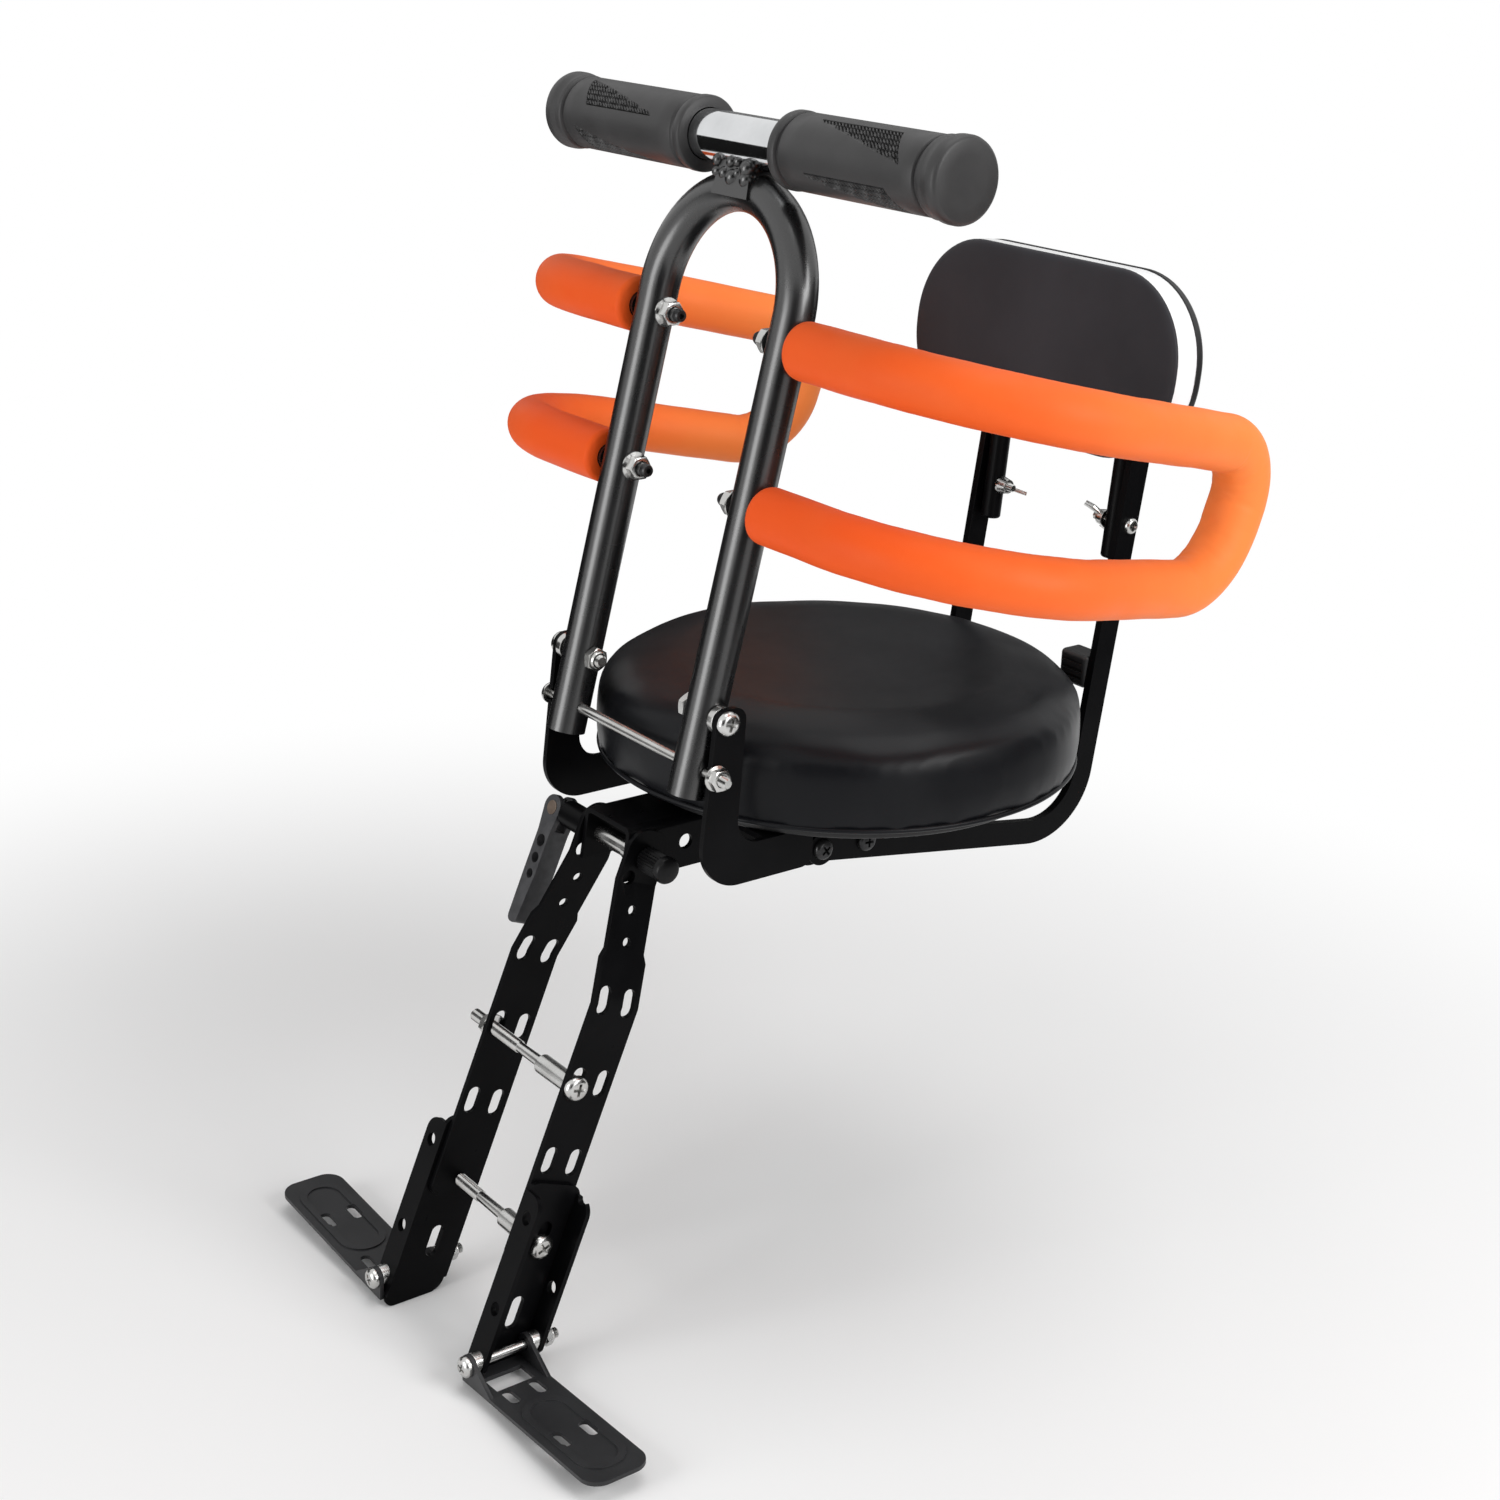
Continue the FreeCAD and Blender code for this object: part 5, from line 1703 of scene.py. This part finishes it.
@dataclass(frozen=True)
class Backrest:
    """Backrest pad: a stuffed charcoal face, a white side band and a seam between them."""

    half_w: float = 89.0
    half_h: float = 44.0
    corner: float = 42.0
    depth: float = 15.0
    lean: float = BACK_LEAN
    held: float = 0.4
    face_depth: float = 9.0
    band_front: float = 1.9
    crown: float = 2.0
    seam_r: float = 0.45
    seam_inset: float = 0.5
    rings: int = 10
    ring_gap: float = 4.0
    longest_edge: float = 25.0
    cuts: int = 11
    stuffing: Stuffing = Stuffing(voxel=0.0, pressure=3.0, cap=3.0, fold=0.0)

    def matrix(self) -> Matrix:
        """Place of the pad's front face, with its depth along local Y.

        Returns:
            The place, in metres.
        """
        low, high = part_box("backrest_pad")
        tilt = math.radians(self.lean)
        sink = self.depth * MM * math.cos(tilt) + self.half_h * MM * math.sin(tilt)
        front = Vector((0.0, high.y - sink, (low.z + high.z) / 2 + 0.5 * self.depth * MM * math.sin(tilt)))
        return Matrix.Translation(front) @ Matrix.Rotation(-tilt, 4, "X")

    def rounded(self, bm: BMesh, inset: float, y: float) -> list[BMEdge]:
        """The outline with round corners at one depth.

        Args:
            bm: The mesh to add to.
            inset: How far the outline lies inside the pad's.
            y: Depth in millimetres.

        Returns:
            The loop's edges.
        """
        half_w, half_h = self.half_w - inset, self.half_h - inset
        radius = self.corner - inset
        corners = [(half_w, half_h), (-half_w, half_h), (-half_w, -half_h), (half_w, -half_h)]
        verts = [bm.verts.new((x * MM, y * MM, z * MM)) for x, z in corners]
        bm.faces.new(verts)
        bmesh.ops.bevel(bm, geom=verts, offset=radius * MM, offset_type="OFFSET", segments=16, profile=0.5,
                        affect="VERTICES", material=-1)
        loop = next(f for f in bm.faces if abs(f.calc_center_median().y - y * MM) < 1e-7)
        edges = loop.edges[:]
        bmesh.ops.delete(bm, geom=[loop], context="FACES_ONLY")
        return edges

    def build(self) -> list[Object]:
        """Builds the face, the band and the seam."""
        return [self.face(), self.band(), self.seam()]

    def face(self) -> Object:
        """The stuffed face, held at its rim.

        Returns:
            The finished piece.
        """
        bm = bmesh.new()
        edge = self.band_front
        rim = [(3.0, self.face_depth), (2.6, edge + 0.7), (0.2, edge + 0.1), (0.1, edge - 0.4), (0.6, 0.5),
               (1.6, 0.0)]
        dome = []
        for k in range(1, self.rings + 1):
            rise = math.sin(k / self.rings * math.pi / 2)
            dome.append((self.ring_gap * k, -0.5 * self.crown * rise))
        skin(bm, [self.rounded(bm, inset, y) for inset, y in rim + dome], closed=False)
        bmesh.ops.holes_fill(bm, edges=[e for e in bm.edges if e.is_boundary], sides=0)
        straight = [e for e in bm.edges if e.calc_length() > self.longest_edge * MM]
        bmesh.ops.subdivide_edges(bm, edges=straight, cuts=self.cuts, use_grid_fill=True)
        bmesh.ops.triangulate(bm, faces=[f for f in bm.faces if len(f.verts) > 4], ngon_method="BEAUTY")
        bmesh.ops.recalc_face_normals(bm, faces=bm.faces[:])
        mesh = self.stuffing.puff(bm, lambda co: co.y > self.held * MM)
        front = min(v.co.y for v in mesh.vertices)
        for vert in mesh.vertices:
            if vert.co.y < 0.0:
                vert.co.y *= -self.crown * MM / front
        mesh.transform(self.matrix())
        made = dress("backrest_face", mesh, [BACK_FACE], Body.FRAME, smooth=80.0)
        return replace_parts(made, "backrest_pad")

    def band(self) -> Object:
        """The white band round the side, slightly full.

        Returns:
            The finished piece.
        """
        bm = bmesh.new()
        front, back = self.band_front, self.depth
        loops = [self.rounded(bm, 3.0, front + 0.2), self.rounded(bm, 0.5, front)]
        for k in range(1, 8):
            share = k / 8
            full = 0.5 - 0.7 * math.sin(math.pi * share)
            loops.append(self.rounded(bm, full, front + share * (back - front)))
        loops += [self.rounded(bm, 0.6, back), self.rounded(bm, 3.0, back)]
        skin(bm, loops, closed=False)
        bmesh.ops.holes_fill(bm, edges=[e for e in bm.edges if e.is_boundary], sides=0)
        bmesh.ops.recalc_face_normals(bm, faces=bm.faces[:])
        bmesh.ops.transform(bm, matrix=self.matrix(), verts=bm.verts[:])
        made = make_piece("backrest_band", bm, [BACK_BAND], Body.FRAME, smooth=60.0)
        return made

    def seam(self) -> Object:
        """The thin piping between the face and the band.

        Returns:
            The finished piece.
        """
        bm = bmesh.new()
        around = round_points(self.seam_inset, self.band_front, self.seam_r, 8)
        skin(bm, [self.rounded(bm, inset, depth) for inset, depth in around], closed=True)
        bmesh.ops.transform(bm, matrix=self.matrix(), verts=bm.verts[:])
        return make_piece("backrest_seam", bm, [BACK_FACE], Body.FRAME, smooth=80.0)


@dataclass(frozen=True)
class HandlebarWeld:
    """Weld beads between the handlebar and the loop's arch."""

    half: float = 12.0
    bead: float = 3.3
    pitch: float = 4.9
    vary: float = 0.8
    flat: float = 0.85
    turn: float = 0.5
    scatter: tuple[float, float, float] = (3.0, 0.9, -3.4)
    lines: tuple[tuple[float, float], ...] = ((-9.4, 227.4), (5.0, 230.0), (-8.4, 222.6), (5.6, 224.5))

    def build(self) -> Object:
        """Lays rows of overlapping beads along the joint.

        Returns:
            The finished piece.
        """
        loop = loop_frame()
        bm = bmesh.new()
        count = int(2 * self.half / self.pitch)
        for line, (y, z) in enumerate(self.lines):
            for k in range(count + 1):
                x = -self.half + k * self.pitch
                wander = noise.noise(Vector((k * 1.37, line * 3.1, 0.5)))
                size = self.bead * (1.0 + self.vary * wander) * MM
                spot = loop @ ((Vector((x, y, z)) + wander * Vector(self.scatter)) * MM)
                shape = Matrix.Diagonal((self.flat * size, size, size, 1.0))
                turn = Matrix.Rotation(self.turn, 4, "Y")
                bmesh.ops.create_uvsphere(bm, u_segments=14, v_segments=9, radius=1.0,
                                          matrix=Matrix.Translation(spot) @ turn @ shape)
        return make_piece("handlebar_weld", bm, [TUBE_COAT], Body.HANDLE, smooth=70.0)


@dataclass(frozen=True)
class Lamp:
    """One soft area lamp that looks at the object."""

    name: str
    place: tuple[float, float, float]
    size: tuple[float, float]
    power: float

    def build(self, target: Vector) -> Object:
        """Makes the lamp.

        Args:
            target: The point it looks at.

        Returns:
            The lamp.
        """
        data = bpy.data.lights.new(self.name, "AREA")
        data.shape = "RECTANGLE"
        data.size, data.size_y = self.size
        data.energy = self.power
        made = add_object(self.name, data)
        made.location = self.place
        made.rotation_mode = "QUATERNION"
        made.rotation_quaternion = (target - made.location).to_track_quat("-Z", "Y")
        return made


@dataclass(frozen=True)
class Flag:
    """One upright dark card out of the picture, which polished surfaces reflect."""

    name: str
    place: tuple[float, float]
    heights: tuple[float, float]
    width: float
    tone: float = 0.01

    def build(self, target: Vector) -> Object:
        """Makes the card, turned to the object.

        Args:
            target: The point it is turned to.

        Returns:
            The card.
        """
        bm = bmesh.new()
        low, high = self.heights
        bmesh.ops.create_grid(bm, x_segments=1, y_segments=1, size=0.5)
        bmesh.ops.scale(bm, vec=(self.width, high - low, 1.0), verts=bm.verts[:])
        centre = Vector((*self.place, (low + high) / 2))
        level = Vector((target.x - centre.x, target.y - centre.y, 0.0))
        bmesh.ops.transform(bm, matrix=facing(centre, level), verts=bm.verts[:])
        mesh = mesh_of(bm, self.name)
        nodes = Shading(self.name)
        nodes.set(Base_Color=(self.tone, self.tone, self.tone, 1.0), Roughness=1.0, Specular_IOR_Level=0.0)
        mesh.materials.append(nodes.material)
        card = add_object(self.name, mesh)
        card.visible_camera = False
        card.visible_diffuse = False
        card.visible_shadow = False
        return card


@dataclass(frozen=True)
class Studio:
    """Pale floor, soft light, dark cards and the camera of the photograph's view."""

    eye: tuple[float, float, float] = (0.816935, -0.562900, 0.430129)
    right: tuple[float, float, float] = (0.6033, 0.7968, 0.0345)
    up: tuple[float, float, float] = (-0.3001, 0.1866, 0.9355)
    lens: float = 56.911
    sensor: float = 36.0
    sky: float = 0.38
    floor_r: float = 8.0
    floor_gap: float = 0.2
    lamps: tuple[Lamp, ...] = (
        Lamp("front_softbox", (-0.03, -1.35, 0.2), (0.6, 1.1), 9.5),
        Lamp("key_softbox", (1.5, 0.45, 0.8), (0.9, 0.9), 18.0),
        Lamp("top_softbox", (0.1, 0.25, 1.5), (1.0, 1.0), 7.0),
    )
    flags: tuple[Flag, ...] = (
        Flag("card_near_rear", (0.62, 0.62), (-0.21, 0.45), 1.1),
        Flag("card_far", (-0.78, 0.0), (-0.21, 0.30), 1.4),
        Flag("card_near_front", (0.95, -0.75), (-0.05, 0.95), 0.9),
        Flag("card_far_rear", (-0.72, 0.80), (-0.21, 0.77), 1.1, 0.2),
    )

    def build(self) -> None:
        """Sets up the stage."""
        low, high = CAD_BOX
        self.floor(low.z)
        for prop in self.lamps + self.flags:
            prop.build((low + high) / 2)
        self.world()
        self.camera()
        bpy.context.scene.view_settings.view_transform = "Standard"

    def floor(self, height: float) -> None:
        """A wide disc under the object.

        Args:
            height: Height of the object's lowest point.
        """
        bm = bmesh.new()
        bmesh.ops.create_circle(bm, cap_ends=True, radius=self.floor_r, segments=96)
        mesh = mesh_of(bm, "floor")
        mesh.transform(Matrix.Translation((0.0, 0.0, height - self.floor_gap * MM)))
        mesh.materials.append(PaleFloor().material())
        disc = add_object("floor", mesh)

    def world(self) -> None:
        """Even light from all round, white where it is seen directly."""
        world = bpy.data.worlds.new("white_room")
        world.use_nodes = True
        bpy.context.scene.world = world
        tree = world.node_tree
        even = tree.nodes["Background"]
        even.inputs["Color"].default_value = WHITE
        even.inputs["Strength"].default_value = self.sky
        white = tree.nodes.new("ShaderNodeBackground")
        white.inputs["Color"].default_value = WHITE
        white.inputs["Strength"].default_value = 1.0
        parts = (even.outputs[0], white.outputs[0])
        blend(tree, seen_directly(tree), parts, tree.nodes["World Output"].inputs["Surface"])

    def camera(self) -> None:
        """The camera, from its place and its right and up directions."""
        data = bpy.data.cameras.new("camera")
        data.lens = self.lens
        data.sensor_width = self.sensor
        data.clip_start = 0.02
        data.clip_end = 60.0
        made = add_object("camera", data)
        x, y = Vector(self.right), Vector(self.up)
        turn = Matrix((x, y, x.cross(y))).transposed().to_4x4()
        made.matrix_world = Matrix.Translation(self.eye) @ turn
        bpy.context.scene.camera = made


@dataclass(frozen=True)
class SeatFrame:
    """Channel, legs, brackets, board, bars and backrest shell, with what holds them together."""

    def steel(self) -> list[CadPart]:
        """The coated steel and moulded pieces.

        Returns:
            The pieces to build.
        """
        parts = [
            CadPart("saddle_channel", SHEET_COAT), CadPart("seat_bracket", SHEET_COAT),
            CadPart("qr_bush", SHEET_COAT), CadPart("seat_board", BOARD_PLASTIC, edge=0.0),
            CadPart("backrest_shell", SHELL_PLASTIC, edge=0.0),
            CadPart("strap_block", STRAP_PLASTIC, edge=0.25)]
        for side in Side:
            parts.append(CadPart(f"foot_bracket_{side.word}", SHEET_COAT, foot_r=6.0))
            for name in ("leg", "rear_bar", "backrest_tube"):
                parts.append(CadPart(f"{name}_{side.word}", SHEET_COAT))
        return parts

    def plated(self) -> list[CadPart]:
        """Turned sleeves, spacers and bushes."""
        names = ("clamp_sleeves", "qr_sleeve", "qr_skewer", "pivot_spacers", "footrest_bushes")
        return [CadPart(name, ZINC, edge=0.25) for name in names]

    def fasteners(self) -> list[ScrewGroup | NutGroup | WingNuts | ThumbNut]:
        """Screws and nuts with their recesses, threads and flutes.

        Returns:
            The groups to build.
        """
        across, along, upright = (1, 0, 0), (0, 1, 0), (0, 0, 1)
        tilt = math.radians(BACK_LEAN)
        leaning = (0.0, math.cos(tilt), -math.sin(tilt))
        return [
            ScrewGroup("clamp_bolts", across, thread=40.0), ScrewGroup("pivot_bolts", across),
            ScrewGroup("rear_bar_bolts", across, thread=9.0, finish=BLACK_ZINC),
            ScrewGroup("wing_screws", across), ScrewGroup("footrest_pins", along, thread=10.0),
            ScrewGroup("board_screws", upright), ScrewGroup("backrest_screws", leaning),
            NutGroup("clamp_nuts", 10.0, 3.0, rightward, flange_r=6.4),
            NutGroup("pivot_nuts", 10.0, 3.0, towards_middle, collar=1.3),
            NutGroup("rear_bar_nuts", 8.0, 2.5, towards_middle, collar=1.0),
            NutGroup("footrest_nuts", 8.0, 2.5, rearward, collar=1.0),
            WingNuts(), ThumbNut()]

    def build(self) -> list[Object]:
        """Builds every piece of the frame."""
        return [part.build() for part in [*self.steel(), *self.plated(), *self.fasteners()]]


@dataclass(frozen=True)
class RodEnds:
    """Threaded ends of the guard rods, which stand out of their nuts inside the loop."""

    reach: float = 5.5
    sunk: float = 1.0
    root_r: float = 2.5
    crest_r: float = 2.95
    pitch: float = 1.0
    socket_r: float = 1.3
    socket_depth: float = 2.0
    steps: int = 28

    def outline(self) -> list[tuple[float, float]]:
        """Profile from inside the nut to the bottom of the small socket.

        Returns:
            Radius and height of each point, in millimetres.
        """
        points = [(0.0, -self.sunk), (self.root_r, -self.sunk)]
        for k in range(int(self.reach / self.pitch)):
            points += [(self.root_r, k * self.pitch), (self.crest_r, (k + 0.5) * self.pitch)]
        floor = self.reach - self.socket_depth
        points += [(self.root_r, self.reach), (self.socket_r, self.reach), (self.socket_r, floor)]
        return points + [(0.0, floor)]

    def build(self) -> Object:
        """Sets one end on each guard nut.

        Returns:
            The finished piece.
        """
        end = bmesh.new()
        spin_outline(end, self.outline(), self.steps)
        shape = mesh_of(end)
        bm = bmesh.new()
        for points in solids_of("guard_nuts"):
            axis = towards_middle(sum(points, Vector()) / len(points))
            found = Spindle.measure(points, axis)
            place(bm, shape, facing(found.end(axis), axis))
        return make_piece("guard_rod_ends", bm, [BLACK_ZINC], Body.HANDLE, smooth=40.0)


@dataclass(frozen=True)
class Handle:
    """Folding loop with handlebar, grips, guards and cross rod."""

    def build(self) -> list[Object]:
        """Builds every piece that folds with the loop.

        Returns:
            The finished pieces.
        """
        parts = [
            CadPart("handle_loop", TUBE_COAT, Body.HANDLE, edge=0.0),
            CadPart("handlebar", CHROME, Body.HANDLE, edge=0.0),
            ScrewGroup("cross_rod", (1, 0, 0), thread=12.0, body=Body.HANDLE),
            NutGroup("cross_rod_nut", 9.0, 2.5, leftward, flange_r=5.8, body=Body.HANDLE),
            NutGroup("guard_nuts", 10.0, 3.0, towards_middle, flange_r=6.6, body=Body.HANDLE),
            RodEnds(), HandlebarWeld()]
        for side in Side:
            parts.append(CadPart(f"guard_bar_{side.word}", TUBE_COAT, Body.HANDLE, edge=0.0))
            parts.append(GuardFoam(side))
            parts.append(Grip(side))
        return [part.build() for part in parts]


@dataclass(frozen=True)
class MovingParts:
    """Quick-release lever with its pin, and the two footrests."""

    def build(self) -> list[Object]:
        """Builds the lever, the pin and the footrests.

        Returns:
            The finished pieces.
        """
        parts = [
            CadPart("qr_lever", LEVER_ALLOY, Body.LEVER, edge=0.4),
            CadPart("qr_pin", BRONZE, Body.FRAME, edge=0.2),
            CadPart("footrest_left", FOOTREST_COAT, Body.LEFT_REST),
            CadPart("footrest_right", FOOTREST_COAT, Body.RIGHT_REST)]
        return [part.build() for part in parts]


def main() -> None:
    """Builds the object and its stage in order."""
    logging.basicConfig(level=logging.INFO, format="%(name)s %(message)s")
    made = SeatFrame().build() + Handle().build() + MovingParts().build()
    made += Cushion().build() + Backrest().build()
    LOG.info("%d pieces", len(made))
    Studio().build()


if __name__ == "__main__":
    main()
